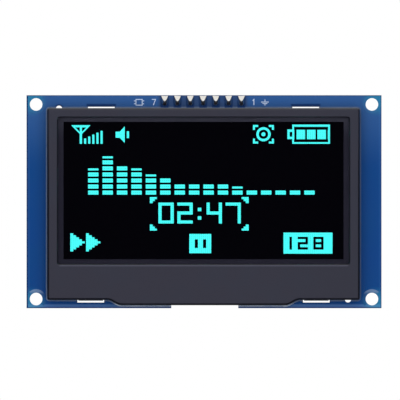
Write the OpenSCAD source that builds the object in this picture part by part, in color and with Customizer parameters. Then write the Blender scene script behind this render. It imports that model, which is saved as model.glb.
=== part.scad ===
// Small OLED display module. A glass display panel sits on foam tape on its driver board,
// and a moulded frame clips through slots in the board to hold it down. A pin header is
// soldered along the top edge. Millimetres; X to the right seen from the screen side, Z up,
// and the screen faces -Y. The origin is the centre of the four mounting holes, on the
// back face of the board.

/* [Display panel] */
// Width of the front glass
glass_w = 60.5; // [56:0.5:66]
// Height of the front glass
glass_h = 36.92; // [34:0.01:42]
// Thickness of the front glass
glass_t = 0.7; // [0.5:0.1:1.1]
// Thickness of the cover glass bonded behind it
cover_t = 1.1; // [0.8:0.1:1.5]
// Height of the bare glass ledge that carries the driver chip and the flex cable
ledge_h = 5.6; // [5:0.1:6]
// Depth of the pocket etched in the cover glass
pocket_d = 0.4; // [0.35:0.05:0.6]
// Width of the cover glass left round its pocket
pocket_rim = 1.5; // [1:0.1:1.9]
// Thickness of the drying film in the pocket
drying_t = 0.15; // [0.1:0.05:0.2]
// Margin from the side of the glass to the dark field
field_side = 2.45; // [2:0.05:3]
// Margin from the top of the glass to the dark field
field_top = 2.15; // [2:0.05:3]
// Margin from the bottom of the glass to the dark field
field_bottom = 7.52; // [7.4:0.01:8.5]
// Thickness of the emitting layers
field_t = 0.1; // [0.05:0.01:0.12]
// Thickness of the polarizing film
film_t = 0.2; // [0.1:0.05:0.3]
// Edge of the polarizing film covered by the frame
film_lap = 0.5; // [0.3:0.1:0.8]

/* [Picture] */
// Columns of dots in the display
dot_columns = 128; // [128:8:160]
// Rows of dots in the display
dot_rows = 64; // [64:8:96]
// Dark field left of the first column
matrix_left = 1.1; // [0.5:0.1:2]
// Dark field right of the last column
matrix_right = 2.15; // [0.5:0.05:3]
// Dark field above the first row
matrix_top = 0.65; // [0.3:0.05:1.5]
// Dark field below the last row
matrix_bottom = 1.0; // [0.3:0.1:1.5]
// Thickness of a lit dot
dot_t = 0.03; // [0.02:0.01:0.05]

/* [Frame] */
// Gap between the glass and the frame's walls
glass_fit = 0.1; // [0.05:0.05:0.3]
// Thickness of the frame's side walls
side_wall = 0.7; // [0.5:0.1:1.2]
// Thickness of the frame's top and bottom walls
end_wall = 0.5; // [0.4:0.05:0.8]
// Thickness of the frame's front
face_t = 0.8; // [0.6:0.1:1.5]
// Sideways offset of the frame and its panel from the middle of the board
frame_shift = -0.1; // [-0.3:0.05:0.3]
// Radius of the frame's outer front edge
edge_r = 0.45; // [0.2:0.05:0.6]
// Corner radius of the frame seen from the front
corner_r = 0.4; // [0.4:0.05:1.2]
// Glass seen between the window and the dark field at each side
window_side = 1.15; // [0.7:0.05:1.4]
// Glass seen between the window and the dark field at the top
window_top = 0.9; // [0.6:0.05:1.2]
// Glass seen between the window and the dark field at the bottom
window_bottom = 1; // [0.6:0.05:1.4]
// Corner radius of the window
window_r = 0.4; // [0.2:0.05:0.8]
// Width of the bevel round the window
window_bevel = 0.2; // [0.1:0.05:0.5]
// Width of the straight part of the lip over the flex cable
lip_w = 32.6; // [31:0.2:35]
// Sideways run of the curve at each end of the lip
lip_run = 2.8; // [2:0.1:3]
// How far the lip hangs below the rest of the frame
lip_drop = 1.05; // [0.9:0.05:1.2]
// Wall of the lip below the flex cable
lip_wall = 0.5; // [0.4:0.05:0.6]

/* [Hooks and pins] */
// Width of each clip hook
hook_w = 4.9; // [4:0.1:5.6]
// How far each hook's barb reaches behind the board
hook_barb = 0.2; // [0.15:0.01:0.25]
// Length of each hook's barb
hook_tip = 0.9; // [0.6:0.1:1.5]
// Gap between a hook and the ends of its slot
hook_fit = 0.2; // [0.1:0.05:0.4]
// Gap between a barb or a pin and the board
hook_play = 0.05; // [0.02:0.01:0.1]
// How far each bottom hook stands out below the frame's wall
hook_step = 0.15; // [0.1:0.01:0.2]
// Open part of each top slot outside its hook
slot_room_top = 0.25; // [0.25:0.05:0.6]
// Open part of each bottom slot outside its hook
slot_room_bottom = 0.35; // [0.25:0.05:0.5]
// Distance of each top hook from the middle of the frame
hook_top_x = 20.3; // [18:0.1:22]
// Distance of each bottom hook from the middle of the frame
hook_bottom_x = 22.4; // [22.4:0.1:24]
// Width of the relief slit beside each hook
relief_w = 0.4; // [0.3:0.05:0.6]
// Height of the relief slit beside each hook
relief_h = 1.8; // [1:0.1:2.4]
// Diameter of each locating pin
pin_d = 1; // [0.8:0.1:1.4]
// Gap round each locating pin in its hole
pin_fit = 0.12; // [0.05:0.01:0.3]
// Distance of each locating pin from the middle of the frame
pin_x = 28.7; // [27:0.1:29]
// Distance of each locating pin's axis inside the frame's edge
pin_inset = 0.13; // [0:0.01:0.3]

/* [Circuit board] */
// Thickness of the board
board_t = 1.6; // [1.2:0.2:2]
// Board seen on each side of the frame
side_strip = 4.2; // [4:0.1:6]
// Board seen above the frame
top_strip = 2.55; // [2.5:0.05:5]
// Board seen below the frame
bottom_strip = 1.63; // [1.5:0.01:4]
// Diameter of the mounting holes
hole_d = 2.5; // [2:0.1:2.7]
// Distance of each mounting hole from the side edge
hole_side = 1.9; // [1.8:0.05:2.4]
// Distance of each mounting hole from the top or bottom edge
hole_end = 1.825; // [1.8:0.025:2.4]
// Thickness of the printed ink
ink_t = 0.03; // [0.02:0.01:0.05]
// Width of the printed line round the frame
ink_w = 0.2; // [0.15:0.01:0.35]
// Thickness of the foam tape under the panel
tape_t = 0.6; // [0.4:0.1:1]
// Width of each strip of foam tape
tape_w = 8; // [5:0.5:12]
// Distance of each strip of foam tape from the side of the cover glass
tape_inset = 3; // [2:0.5:6]

/* [Flex cable] */
// Thickness of the flex cable
flex_t = 0.15; // [0.1:0.01:0.2]
// Width of the flex cable where it passes through the board
tail_w = 12.5; // [10:0.5:14]
// Width of the flex cable on the glass
bond_w = 29; // [24:0.5:30]
// Height of the flex cable bonded to the glass
bond_h = 1.7; // [1.2:0.1:2.2]
// Inside radius of the flex cable's bends
flex_bend = 0.5; // [0.3:0.05:0.5]
// Gap on each side of the flex cable in the board's notch
notch_gap = 0.4; // [0.2:0.1:1]
// Sideways offset of the notch from the middle of the board
notch_shift = 0.15; // [-0.2:0.05:0.2]
// Open height of the notch above the flex cable
notch_room = 1.2; // [0.8:0.1:2]
// Length of the flex cable on the back of the board
tail_l = 5.5; // [4:0.1:7]
// Number of soldered contacts on the flex cable
contact_count = 24; // [12:1:28]
// Spacing of the contacts
contact_pitch = 0.5; // [0.4:0.02:0.5]
// Length of each solder strip
contact_l = 1.3; // [0.8:0.1:2]
// Length of the driver chip
chip_l = 11.5; // [8:0.1:14]
// Height of the driver chip
chip_w = 1.4; // [1:0.1:1.6]
// Thickness of the driver chip
chip_t = 0.35; // [0.2:0.05:0.5]
// Gap between the driver chip and the flex cable
chip_gap = 0.9; // [0.6:0.1:1.2]

/* [Header] */
// Number of pins
pin_count = 7; // [4:1:8]
// Spacing of the pins
pin_pitch = 2.54; // [2.5:0.01:2.6]
// Width of a square pin
pin_side = 0.64; // [0.5:0.02:0.7]
// Chamfer at each end of a pin
pin_tip = 0.25; // [0.1:0.05:0.25]
// Length of pin in front of the board
pin_stub = 1.2; // [0.8:0.05:1.6]
// Length of pin behind the header's plastic
pin_reach = 6; // [4:0.5:9]
// Thickness of the header's plastic
header_t = 2.5; // [2:0.1:3]
// Height of the header's plastic
header_h = 2.5; // [2.2:0.1:2.5]
// Distance of the pins from the top edge of the board
header_inset = 1.25; // [1.25:0.01:1.3]
// Sideways offset of the header from the middle of the board
header_shift = -0.2; // [-1:0.1:1]
// Width of each oval solder joint on the board
solder_w = 1.4; // [1.2:0.05:1.8]
// Length of each oval solder joint on the board
solder_l = 2.3; // [1.6:0.05:2.3]
// How far each solder joint stands out from the board
solder_h = 0.95; // [0.6:0.05:1.1]

/* [Parts on the back] */
// Length of a chip resistor or small capacitor
chip_part_l = 1.6; // [1.4:0.1:2]
// Width of a chip resistor or small capacitor
chip_part_w = 0.8; // [0.7:0.05:1]
// Thickness of a chip resistor
resistor_t = 0.45; // [0.35:0.05:0.6]
// Thickness of a small capacitor
small_cap_t = 0.8; // [0.6:0.05:0.9]
// Length of a large capacitor
large_cap_l = 2; // [1.8:0.1:2.4]
// Width of a large capacitor
large_cap_w = 1.25; // [1.1:0.05:1.4]
// Thickness of a large capacitor
large_cap_t = 1.25; // [0.8:0.05:1.4]
// Length of the metal cap on each end of a chip part
cap_l = 0.35; // [0.2:0.05:0.4]
// Diameter of the inductor's flanges
coil_d = 4.2; // [3.4:0.1:4.6]
// Height of the inductor
coil_h = 2.6; // [2:0.1:3.4]
// Thickness of the inductor's flanges
coil_flange = 0.5; // [0.4:0.05:0.7]
// Diameter of the inductor's neck
coil_neck = 1.9; // [1.4:0.1:2.2]
// Diameter of the inductor's wire
wire_d = 0.3; // [0.2:0.02:0.36]
// Length of a transistor-style package
package_l = 2.9; // [2.7:0.05:3.1]
// Width of a transistor-style package
package_w = 1.6; // [1.4:0.05:1.7]
// Thickness of a transistor-style package
package_t = 1.0; // [0.9:0.05:1.2]
// Reach of a package's leads past its side
lead_reach = 0.6; // [0.5:0.05:0.8]
// Thickness of a package's leads
lead_t = 0.15; // [0.1:0.01:0.2]

/* [Hidden] */
$fn = 48;
cut = 0.5;
fillet_steps = 5;
corner_steps = 4;
oval_steps = 24;
solder_steps = 5;
curve_steps = 8;

// Heights of the stack, from the board's front face towards the viewer
board_face = -board_t;
cover_back = board_face - tape_t;
glass_back = cover_back - cover_t;
glass_face = glass_back - glass_t;
film_face = glass_face - film_t;
frame_face = film_face - face_t;

// Outlines seen from the front
frame_w = glass_w + 2 * (glass_fit + side_wall);
frame_h = glass_h + 2 * (glass_fit + end_wall);
board_w = frame_w + 2 * side_strip;
board_h = frame_h + top_strip + bottom_strip;
frame_top = board_h / 2 - top_strip;
frame_bottom = -board_h / 2 + bottom_strip;
frame_mid = (frame_top + frame_bottom) / 2;
glass_top = frame_top - end_wall - glass_fit;
glass_bottom = frame_bottom + end_wall + glass_fit;
hole_x = board_w / 2 - hole_side;
hole_z = board_h / 2 - hole_end;

// The dark field and the window round it
field_w = glass_w - 2 * field_side;
field_h = glass_h - field_top - field_bottom;
field_high = glass_top - field_top;
field_low = glass_bottom + field_bottom;
window_w = field_w + 2 * window_side;
window_high = field_high + window_top;
window_low = field_low - window_bottom;
dot_w = (field_w - matrix_left - matrix_right) / dot_columns;
dot_h = (field_h - matrix_top - matrix_bottom) / dot_rows;

// The flex cable runs down from the glass, under it, and back up behind the board
lip_bottom = frame_bottom - lip_drop;
flex_low = lip_bottom + lip_wall + hook_play;
bend_z = flex_low + flex_t + flex_bend;
notch_w = tail_w + 2 * notch_gap;
notch_top = flex_low + flex_t + notch_room;
tail_top = bend_z + tail_l;
bond_top = glass_bottom + bond_h;
bond_low = glass_bottom - 0.3;

header_z = board_h / 2 - header_inset;
pin_hole_d = pin_side * sqrt(2) + 0.1;

// Places of the parts on the back, each [x, z, turn]. The power parts keep to the board's
// left and right edges, and the row by the flex cable keeps to the cable's end.
flex_row = tail_top + 3.6;
power_x = -board_w / 2 + 13;
power_z = -board_h / 2 + 11.6;
supply_x = board_w / 2 - 16.4;
supply_z = board_h / 2 - 10.7;
inductor_at = [power_x, power_z];
controller_at = [power_x + 6.4, power_z];
diode_at = [power_x, power_z + 4.9];
regulator_at = [supply_x, supply_z];
select_z = board_h / 2 - 11.6;
capacitors = [
    [-5.2, flex_row, 90], [-1.8, flex_row, 90], [1.8, flex_row, 90], [5.2, flex_row, 90],
    [power_x - 5.2, power_z, 90], [power_x + 6.4, power_z - 4.1, 0],
    [supply_x - 5.3, supply_z, 90], [supply_x + 5.3, supply_z, 90]
];
resistors = concat(
    [for (i = [0 : 4]) [-14 + 2.2 * i, select_z, 90]],
    [for (i = [0 : 2]) [9 + 2.2 * i, flex_row, 90]],
    [[power_x + 9.8, power_z + 4.1, 0], [-8.6, flex_row, 90]]
);
large_capacitors = [5, 6, 7, 8];

// ---- shapes used by several parts ----

// A box given by its lowest and highest corners
module block(low, high) {
    translate(low) cube(high - low);
}

// Something drawn in X and Z, given a thickness from y = back to y = front, front < back
module slab(front, back) {
    translate([0, back, 0]) rotate([90, 0, 0]) linear_extrude(height = back - front) children();
}

// Points of a quarter circle of radius r about [x, z], from the angle a1 to a2
function arc(x, z, r, a1, a2, steps) =
    [for (i = [0 : steps]) let (a = a1 + (a2 - a1) * i / steps) [x + r * cos(a), z + r * sin(a)]];

// Height of the frame's lower edge above the lip, at a share t of the way along the curve
function lip_rise(t) = lip_drop * (1 - cos(180 * t)) / 2;

// The frame's outline moved inwards by d, anticlockwise from the left end of the lip
function frame_outline(d) = let (
    x = frame_w / 2 - d, top = frame_top - d, low = frame_bottom + d,
    r = max(corner_r - d, 0.05), half = lip_w / 2 - d / 4)
    concat(
        [for (i = [0 : curve_steps])
            [half + lip_run * i / curve_steps, lip_bottom + d + lip_rise(i / curve_steps)]],
        arc(x - r, low + r, r, -90, 0, corner_steps),
        arc(x - r, top - r, r, 0, 90, corner_steps),
        arc(-x + r, top - r, r, 90, 180, corner_steps),
        arc(-x + r, low + r, r, 180, 270, corner_steps),
        [for (i = [curve_steps : -1 : 0])
            [-half - lip_run * i / curve_steps, lip_bottom + d + lip_rise(i / curve_steps)]]
    );

// A rectangle with round corners, anticlockwise
function round_rectangle(x, low, high, r) = concat(
    arc(x - r, low + r, r, -90, 0, corner_steps),
    arc(x - r, high - r, r, 0, 90, corner_steps),
    arc(-x + r, high - r, r, 90, 180, corner_steps),
    arc(-x + r, low + r, r, 180, 270, corner_steps)
);

// Middle of the box round some points
function box_middle(points) = let (x = [for (p = points) p[0]], z = [for (p = points) p[1]])
    [min(x) + max(x), min(z) + max(z)] / 2;

// Skin through a stack of outlines, each [y, points], from the front one to the back one.
// Each end is closed by a fan of triangles about the middle of its outline.
module loft(rings) {
    n = len(rings[0][1]);
    last = len(rings) - 1;
    ends = [for (k = [0, last]) let (m = box_middle(rings[k][1])) [m[0], rings[k][0], m[1]]];
    points = concat([for (ring = rings) for (p = ring[1]) [p[0], ring[0], p[1]]], ends);
    front = (last + 1) * n;
    back = front + 1;
    polyhedron(points, [
        for (i = [0 : n - 1]) let (j = (i + 1) % n) each concat(
            [[front, j, i], [back, last * n + i, last * n + j]],
            [for (k = [0 : last - 1]) [k * n + i, k * n + j, (k + 1) * n + j, (k + 1) * n + i]]
        )
    ]);
}

// ---- the board ----

module circuit_board() {
    color("#1d4a86") difference() {
        block([-board_w / 2, board_face, -board_h / 2], [board_w / 2, 0, board_h / 2]);
        for (x = [-hole_x, hole_x], z = [-hole_z, hole_z])
            bored(x, z, hole_d);
        for (side = [-1, 1])
            bored(frame_shift + side * pin_x, pin_z(-side), pin_d + 2 * pin_fit);
        for (i = [1 : pin_count])
            bored(pin_at(i), header_z, pin_hole_d);
        translate([frame_shift, 0, 0]) hook_slots();
        notch();
    }
}

// Opening in the board's lower edge that the flex cable bends through
module notch() {
    block([notch_shift - notch_w / 2, board_face - cut, -board_h / 2 - cut],
          [notch_shift + notch_w / 2, cut, notch_top]);
}

// A hole through the board
module bored(x, z, d) {
    translate([x, cut, z]) rotate([90, 0, 0]) cylinder(d = d, h = board_t + 2 * cut);
}

// Slots that the frame's hooks pass through, with open room outside each hook
module hook_slots() {
    half = hook_w / 2 + hook_fit;
    inner = end_wall + hook_play;
    for (x = [-hook_top_x, hook_top_x])
        block([x - half, board_face - cut, frame_top - inner],
              [x + half, cut, frame_top + slot_room_top]);
    for (x = [-hook_bottom_x, hook_bottom_x])
        block([x - half, board_face - cut, frame_bottom - hook_step - slot_room_bottom],
              [x + half, cut, frame_bottom - hook_step + inner]);
}

// White ink line on the board, close round the frame
module board_print() {
    color("#9fb0c8") difference() {
        translate([frame_shift, 0, 0]) slab(board_face - ink_t, board_face) difference() {
            polygon(frame_outline(-hook_play - ink_w));
            polygon(frame_outline(-hook_play));
        }
        translate([frame_shift, 0, 0]) hook_slots();
        for (side = [-1, 1])
            bored(frame_shift + side * pin_x, pin_z(-side), pin_d + 2 * pin_fit);
        for (i = [1 : pin_count])
            translate([pin_at(i), 0, header_z])
                block([-solder_w / 2 - hook_play, board_face - cut, -solder_l / 2 - hook_play],
                      [solder_w / 2 + hook_play, cut, solder_l / 2 + hook_play]);
        notch();
    }
}

// ---- the frame ----

module front_frame() {
    color("#35363f") translate([frame_shift, 0, 0]) {
        difference() {
            frame_shell();
            block([-glass_w / 2 - glass_fit, film_face, glass_bottom - glass_fit],
                  [glass_w / 2 + glass_fit, board_face + cut, glass_top + glass_fit]);
            block([-bond_w / 2 - glass_fit, glass_back - glass_fit, lip_bottom + lip_wall],
                  [bond_w / 2 + glass_fit, board_face + cut, glass_bottom]);
            window_cutter();
            relief_slits();
        }
        hooks();
        locating_pins();
    }
}

// The frame's outside: straight walls and a rounded front edge
module frame_shell() {
    edge = [for (i = [0 : fillet_steps]) let (a = 90 * i / fillet_steps)
        [frame_face + edge_r * (1 - sin(a)), frame_outline(edge_r * (1 - cos(a)))]];
    loft(concat(
        [for (i = [fillet_steps : -1 : 0]) edge[i]],
        [[board_face, frame_outline(0)]]
    ));
}

// The window: straight at the film, then opening out to a bevel at the face
module window_cutter() {
    x = window_w / 2;
    mouth = window_bevel;
    loft([
        [frame_face - cut, round_rectangle(x + mouth, window_low - mouth, window_high + mouth,
            window_r + mouth)],
        [frame_face, round_rectangle(x + mouth, window_low - mouth, window_high + mouth,
            window_r + mouth)],
        [frame_face + mouth, round_rectangle(x, window_low, window_high, window_r)],
        [film_face + cut, round_rectangle(x, window_low, window_high, window_r)]
    ]);
}

// Slits that free each hook's root from the wall beside it
module relief_slits() {
    for (x = [-hook_top_x, hook_top_x])
        slit_pair(x, frame_top - end_wall - glass_fit / 2, frame_top + cut);
    for (x = [-hook_bottom_x, hook_bottom_x])
        slit_pair(x, frame_bottom - cut, frame_bottom + end_wall + glass_fit / 2);
}

module slit_pair(x, low, high) {
    for (side = [-1, 1])
        translate([x + side * (hook_w + relief_w) / 2, 0, 0])
            block([-relief_w / 2, board_face - relief_h, low],
                  [relief_w / 2, board_face + cut, high]);
}

module hooks() {
    for (x = [-hook_top_x, hook_top_x])
        translate([x, 0, frame_top]) hook();
    for (x = [-hook_bottom_x, hook_bottom_x])
        translate([x, 0, frame_bottom - hook_step]) mirror([0, 0, 1]) hook();
}

// One clip hook: an arm that carries on from the wall, its barb turned in behind the board
module hook() {
    translate([-hook_w / 2, 0, 0]) rotate([90, 0, 90]) linear_extrude(height = hook_w) polygon([
        [board_face, 0],
        [hook_play + hook_tip, 0],
        [hook_play + hook_tip, -end_wall / 2],
        [hook_play + hook_tip / 3, -end_wall - hook_barb],
        [hook_play, -end_wall - hook_barb],
        [hook_play, -end_wall],
        [board_face, -end_wall]
    ]);
}

// Height of a locating pin's axis, near the frame's top edge (1) or bottom edge (-1)
function pin_z(end) = end > 0 ? frame_top - pin_inset : frame_bottom + pin_inset;

// Two pins in opposite corners, cut flush with the frame's edge
module locating_pins() {
    for (side = [-1, 1]) intersection() {
        translate([side * pin_x, -2 * hook_play, pin_z(-side)]) rotate([90, 0, 0])
            cylinder(d = pin_d, h = board_t - 2 * hook_play);
        block([-frame_w / 2, board_face, frame_bottom], [frame_w / 2, 0, frame_top]);
    }
}

// ---- the panel ----

module polarizer_film() {
    x = window_w / 2 + film_lap;
    color("#191a22", 0.6) translate([frame_shift, 0, 0])
        block([-x, film_face, window_low - film_lap], [x, glass_face, window_high + film_lap]);
}

module front_glass() {
    color("#aab4c4", 0.35) translate([frame_shift, 0, 0])
        block([-glass_w / 2, glass_face, glass_bottom], [glass_w / 2, glass_back, glass_top]);
}

// Cover glass with a shallow pocket etched in its front face
module cover_glass() {
    x = glass_w / 2;
    low = glass_bottom + ledge_h;
    color("#9aa6b4", 0.5) translate([frame_shift, 0, 0]) difference() {
        block([-x, glass_back, low], [x, cover_back, glass_top]);
        block([-x + pocket_rim, glass_back - cut, low + pocket_rim],
              [x - pocket_rim, glass_back + pocket_d, glass_top - pocket_rim]);
    }
}

// White drying film stuck to the floor of the pocket
module drying_film() {
    x = field_w / 2;
    color("#dcdcd6") translate([frame_shift, 0, 0])
        block([-x, glass_back + pocket_d - drying_t, field_low],
              [x, glass_back + pocket_d, field_high]);
}

// Black emitting layers on the back of the front glass, behind the lit dots
module emitter_panel() {
    x = field_w / 2;
    color("#06060b") translate([frame_shift, 0, 0])
        block([-x, glass_back + dot_t, field_low], [x, glass_back + dot_t + field_t, field_high]);
}

module driver_chip() {
    low = bond_top + chip_gap;
    color("#3c3d42") translate([frame_shift, 0, 0])
        block([-chip_l / 2, glass_back, low], [chip_l / 2, glass_back + chip_t, low + chip_w]);
}

module foam_tape(side) {
    x = glass_w / 2 - tape_inset - tape_w;
    color("#202124") translate([frame_shift, 0, 0]) mirror([side > 0 ? 0 : 1, 0, 0])
        block([x, cover_back, glass_bottom + ledge_h + tape_inset],
              [x + tape_w, board_face, glass_top - tape_inset]);
}

// ---- the picture: everything is placed in columns and rows of dots from the top left ----

// A lit rectangle, column c and row r being its top left corner
module lit(c, r, w, h) {
    translate([c, -r - h]) square([w, h]);
}

// Takes the corners off a lit shape, as a dot's own round corners do
module soft(r = 0.35) {
    offset(r = r, $fn = 8) offset(delta = -r) children();
}

// A lit shape given by its points, each [column, row]
module lit_shape(points) {
    polygon([for (p = points) [p[0], -p[1]]]);
}

// Which strokes each digit lights: top, middle, bottom, then the left and right sides
DIGIT_STROKES = [
    [1, 0, 1, 1, 1, 1, 1], [0, 0, 0, 0, 0, 1, 1], [1, 1, 1, 0, 1, 1, 0], [1, 1, 1, 0, 0, 1, 1],
    [0, 1, 0, 1, 0, 1, 1], [1, 1, 1, 1, 0, 0, 1], [1, 1, 1, 1, 1, 0, 1], [1, 0, 0, 0, 0, 1, 1],
    [1, 1, 1, 1, 1, 1, 1], [1, 1, 1, 1, 0, 1, 1]
];

// A digit w dots wide and h high with strokes s thick, its top left corner at c, r
module digit(value, c, r, w, h, s) {
    on = DIGIT_STROKES[value];
    mid = (h - s) / 2;
    if (on[0] > 0) lit(c, r, w, s);
    if (on[1] > 0) lit(c, r + mid, w, s);
    if (on[2] > 0) lit(c, r + h - s, w, s);
    if (on[3] > 0) lit(c, r, s, mid + s);
    if (on[4] > 0) lit(c, r + mid, s, mid + s);
    if (on[5] > 0) lit(c + w - s, r, s, mid + s);
    if (on[6] > 0) lit(c + w - s, r + mid, s, mid + s);
}

// Aerial with five bars of rising height
module signal_mark() {
    difference() {
        lit_shape([[1, 0], [10.4, 0], [5.7, 4.9]]);
        lit_shape([[3.4, 1.1], [5.1, 1.1], [5.1, 2.9]]);
        lit_shape([[8, 1.1], [6.3, 1.1], [6.3, 2.9]]);
    }
    lit(5.1, 4, 1.2, 5.2);
    for (i = [0 : 4])
        lit(7.2 + 2 * i, 6.6 - 0.95 * i, 1.25, 2.6 + 0.95 * i);
}

// Loudspeaker with one sound wave
module sound_mark() {
    lit(22.6, 3.2, 2, 3);
    lit_shape([[24.6, 3.2], [27, 0.6], [27, 8.8], [24.6, 6.2]]);
    lit(28, 3, 1.1, 3.4);
}

// Ring and dot inside four corner brackets
module focus_mark() {
    mid = [94.4, -4.5];
    translate(mid) difference() {
        circle(r = 3.5);
        circle(r = 2.3);
    }
    translate(mid) circle(r = 1);
    for (side = [0, 1], end = [0, 1])
        translate(mid) mirror([side, 0]) mirror([0, end]) {
            translate([2.6, 3.6]) square([2.5, 1]);
            translate([4.1, 2.2]) square([1, 2.4]);
        }
}

module battery_mark() {
    difference() {
        lit(108.4, -0.3, 18.3, 9.5);
        lit(109.4, 0.8, 16.2, 7.3);
    }
    difference() {
        lit(106, 2.1, 2.5, 4.8);
        lit(107.1, 3.3, 1.4, 2.4);
    }
    for (i = [0 : 2])
        soft() lit(110.3 + 5.1 * i, 2.1, 4.4, 5.1);
}

// Heights of the level bars, counted in blocks, each worth three rows
level_heights = [4.5, 6.5, 5, 4.5, 3.5, 3, 2, 2, 2, 2, 1.5, 1, 1, 1, 1, 1];

module level_bars() {
    for (i = [0 : len(level_heights) - 1], k = [0 : ceil(level_heights[i]) - 1]) {
        whole = level_heights[i] - k >= 1;
        h = whole ? 2.15 : 1.15;
        soft() lit(8.7 + 7 * i, 34.6 - 3 * k - h, 5.6, h);
    }
}

// Half of a square n dots wide, cut along its diagonal in steps of one dot
module stepped_wedge(n) {
    for (i = [0 : n - 1])
        translate([i, n - 1 - i]) square([n - i, 1]);
}

// Time shown between four corner wedges
module time_readout() {
    for (side = [0, 1], end = [0, 1])
        translate([63.2, -44]) mirror([1 - side, 0]) mirror([0, 1 - end])
            translate([20.6, 4.9]) stepped_wedge(3.4);
    digit(0, 43.4, 38.4, 7.4, 10.4, 1.5);
    digit(2, 52.6, 38.4, 7.4, 10.4, 1.5);
    lit(62.5, 41, 1.7, 1.7);
    lit(62.5, 45.2, 1.7, 1.7);
    digit(4, 66.8, 38.4, 7.4, 10.4, 1.5);
    digit(7, 76, 38.4, 7.4, 10.4, 1.5);
}

// Two wedges side by side, in steps of one row: skip forward
module skip_mark() {
    for (i = [0, 1], k = [0 : 4])
        lit(0.6 + 7.6 * i, 53.7 + k, 1.4 + 1.4 * k, 9 - 2 * k);
}

module pause_mark() {
    difference() {
        lit(58.4, 54, 10.6, 9.6);
        lit(61, 56.7, 1.6, 4.3);
        lit(65, 56.7, 1.6, 4.3);
    }
}

// Lit block with a number cut out of it
module number_block() {
    difference() {
        lit(104.1, 53.3, 23.8, 10.5);
        digit(1, 103.2, 55.4, 5, 6.4, 1.2);
        digit(2, 111, 55.4, 5, 6.4, 1.2);
        digit(8, 118.6, 55.4, 5, 6.4, 1.2);
    }
}

module lit_dots() {
    left = frame_shift - field_w / 2 + matrix_left;
    top = field_high - matrix_top;
    // Dots are a little wider than high, so the picture is drawn once in dots and spread
    color("#3cfaf5") translate([left, 0, top]) slab(glass_back, glass_back + dot_t)
        scale([dot_w, dot_h]) {
            signal_mark();
            sound_mark();
            focus_mark();
            battery_mark();
            level_bars();
            time_readout();
            skip_mark();
            pause_mark();
            number_block();
        }
}

// ---- the flex cable ----

// The cable's path seen from the side, Y to the right and Z up
module flex_profile(t, bend) {
    front = glass_back + t + bend;
    back = -bend;
    translate([glass_back, bend_z]) square([t, bond_top - bend_z]);
    flex_elbow(front, t, bend, -1);
    translate([front, flex_low]) square([back - front, t]);
    flex_elbow(back, t, bend, 1);
    translate([0, bend_z]) square([t, tail_l]);
}

// A quarter turn of the cable about [y, bend_z], on the side that side says
module flex_elbow(y, t, bend, side) {
    translate([y, bend_z]) intersection() {
        difference() {
            circle(r = bend + t);
            circle(r = bend);
        }
        translate([side > 0 ? 0 : -2 * (bend + t), -2 * (bend + t)]) square(2 * (bend + t));
    }
}

module flex_cable() {
    color("#c07a2c") {
        translate([frame_shift - tail_w / 2, 0, 0]) rotate([90, 0, 90])
            linear_extrude(height = tail_w) flex_profile(flex_t, flex_bend);
        translate([frame_shift, 0, 0])
            block([-bond_w / 2, glass_back, bond_low], [bond_w / 2, glass_back + flex_t, bond_top]);
    }
}

// Solder strips that join the cable's contacts to the back of the board
module flex_solder() {
    color("#c9ccd0") for (i = [0 : contact_count - 1])
        translate([frame_shift + (i - (contact_count - 1) / 2) * contact_pitch, 0, tail_top])
            intersection() {
                cylinder(d = contact_pitch * 0.6, h = contact_l, $fn = 16);
                translate([-contact_pitch, 0, 0]) cube([2 * contact_pitch, flex_t, contact_l]);
            }
}

// ---- the header ----

function pin_at(i) = header_shift + (i - (pin_count + 1) / 2) * pin_pitch;

// Plastic body: one block for each pin with cut corners, broken off a longer strip
module header_body() {
    corner = 0.45;
    half = header_h / 2;
    color("#1b1b1d") difference() {
        for (i = [1 : pin_count])
            translate([pin_at(i), 0, header_z]) slab(0, header_t) polygon([
                [-pin_pitch / 2, corner - half], [corner - pin_pitch / 2, -half],
                [pin_pitch / 2 - corner, -half], [pin_pitch / 2, corner - half],
                [pin_pitch / 2, half - corner], [pin_pitch / 2 - corner, half],
                [corner - pin_pitch / 2, half], [-pin_pitch / 2, half - corner]
            ]);
        for (i = [1 : pin_count])
            pin_space(i, pin_side);
    }
}

// The square space that a pin fills
module pin_space(i, side) {
    translate([pin_at(i), 0, header_z])
        block([-side / 2, board_face - pin_stub - cut, -side / 2],
              [side / 2, header_t + pin_reach + cut, side / 2]);
}

// A square pin whose two ends are chamfered on all four sides
module header_pin(i) {
    color("#d6c27a") translate([pin_at(i), 0, header_z]) intersection() {
        linear_extrude(height = pin_side, center = true) pin_outline();
        rotate([0, 90, 0]) linear_extrude(height = pin_side, center = true) pin_outline();
    }
}

module pin_outline() {
    half = pin_side / 2;
    front = board_face - pin_stub;
    back = header_t + pin_reach;
    polygon([
        [-half, front + pin_tip], [pin_tip - half, front], [half - pin_tip, front],
        [half, front + pin_tip], [half, back - pin_tip], [half - pin_tip, back],
        [pin_tip - half, back], [-half, back - pin_tip]
    ]);
}

// Points of an oval with full shoulders, half a wide and half b high, anticlockwise
function oval(a, b, fullness = 2.8) = [for (i = [0 : oval_steps - 1])
    let (turn = 360 * i / oval_steps, c = cos(turn), s = sin(turn))
        [a * sign(c) * pow(abs(c), 2 / fullness), b * sign(s) * pow(abs(s), 2 / fullness)]];

// Hollow-sided mound of solder round a pin, drawn up from an oval pad to the pin's width
module solder_joint(i) {
    top = 0.75 * pin_side;
    color("#d9dbde") difference() {
        translate([pin_at(i), 0, header_z]) loft([
            for (k = [solder_steps : -1 : 0])
                let (t = k / solder_steps, spread = pow(1 - t, 1.35))
                    [board_face - solder_h * t,
                     oval(top + (solder_w / 2 - top) * spread, top + (solder_l / 2 - top) * spread)]
        ]);
        pin_space(i, pin_side);
    }
}

// ---- parts on the back of the board ----

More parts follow.
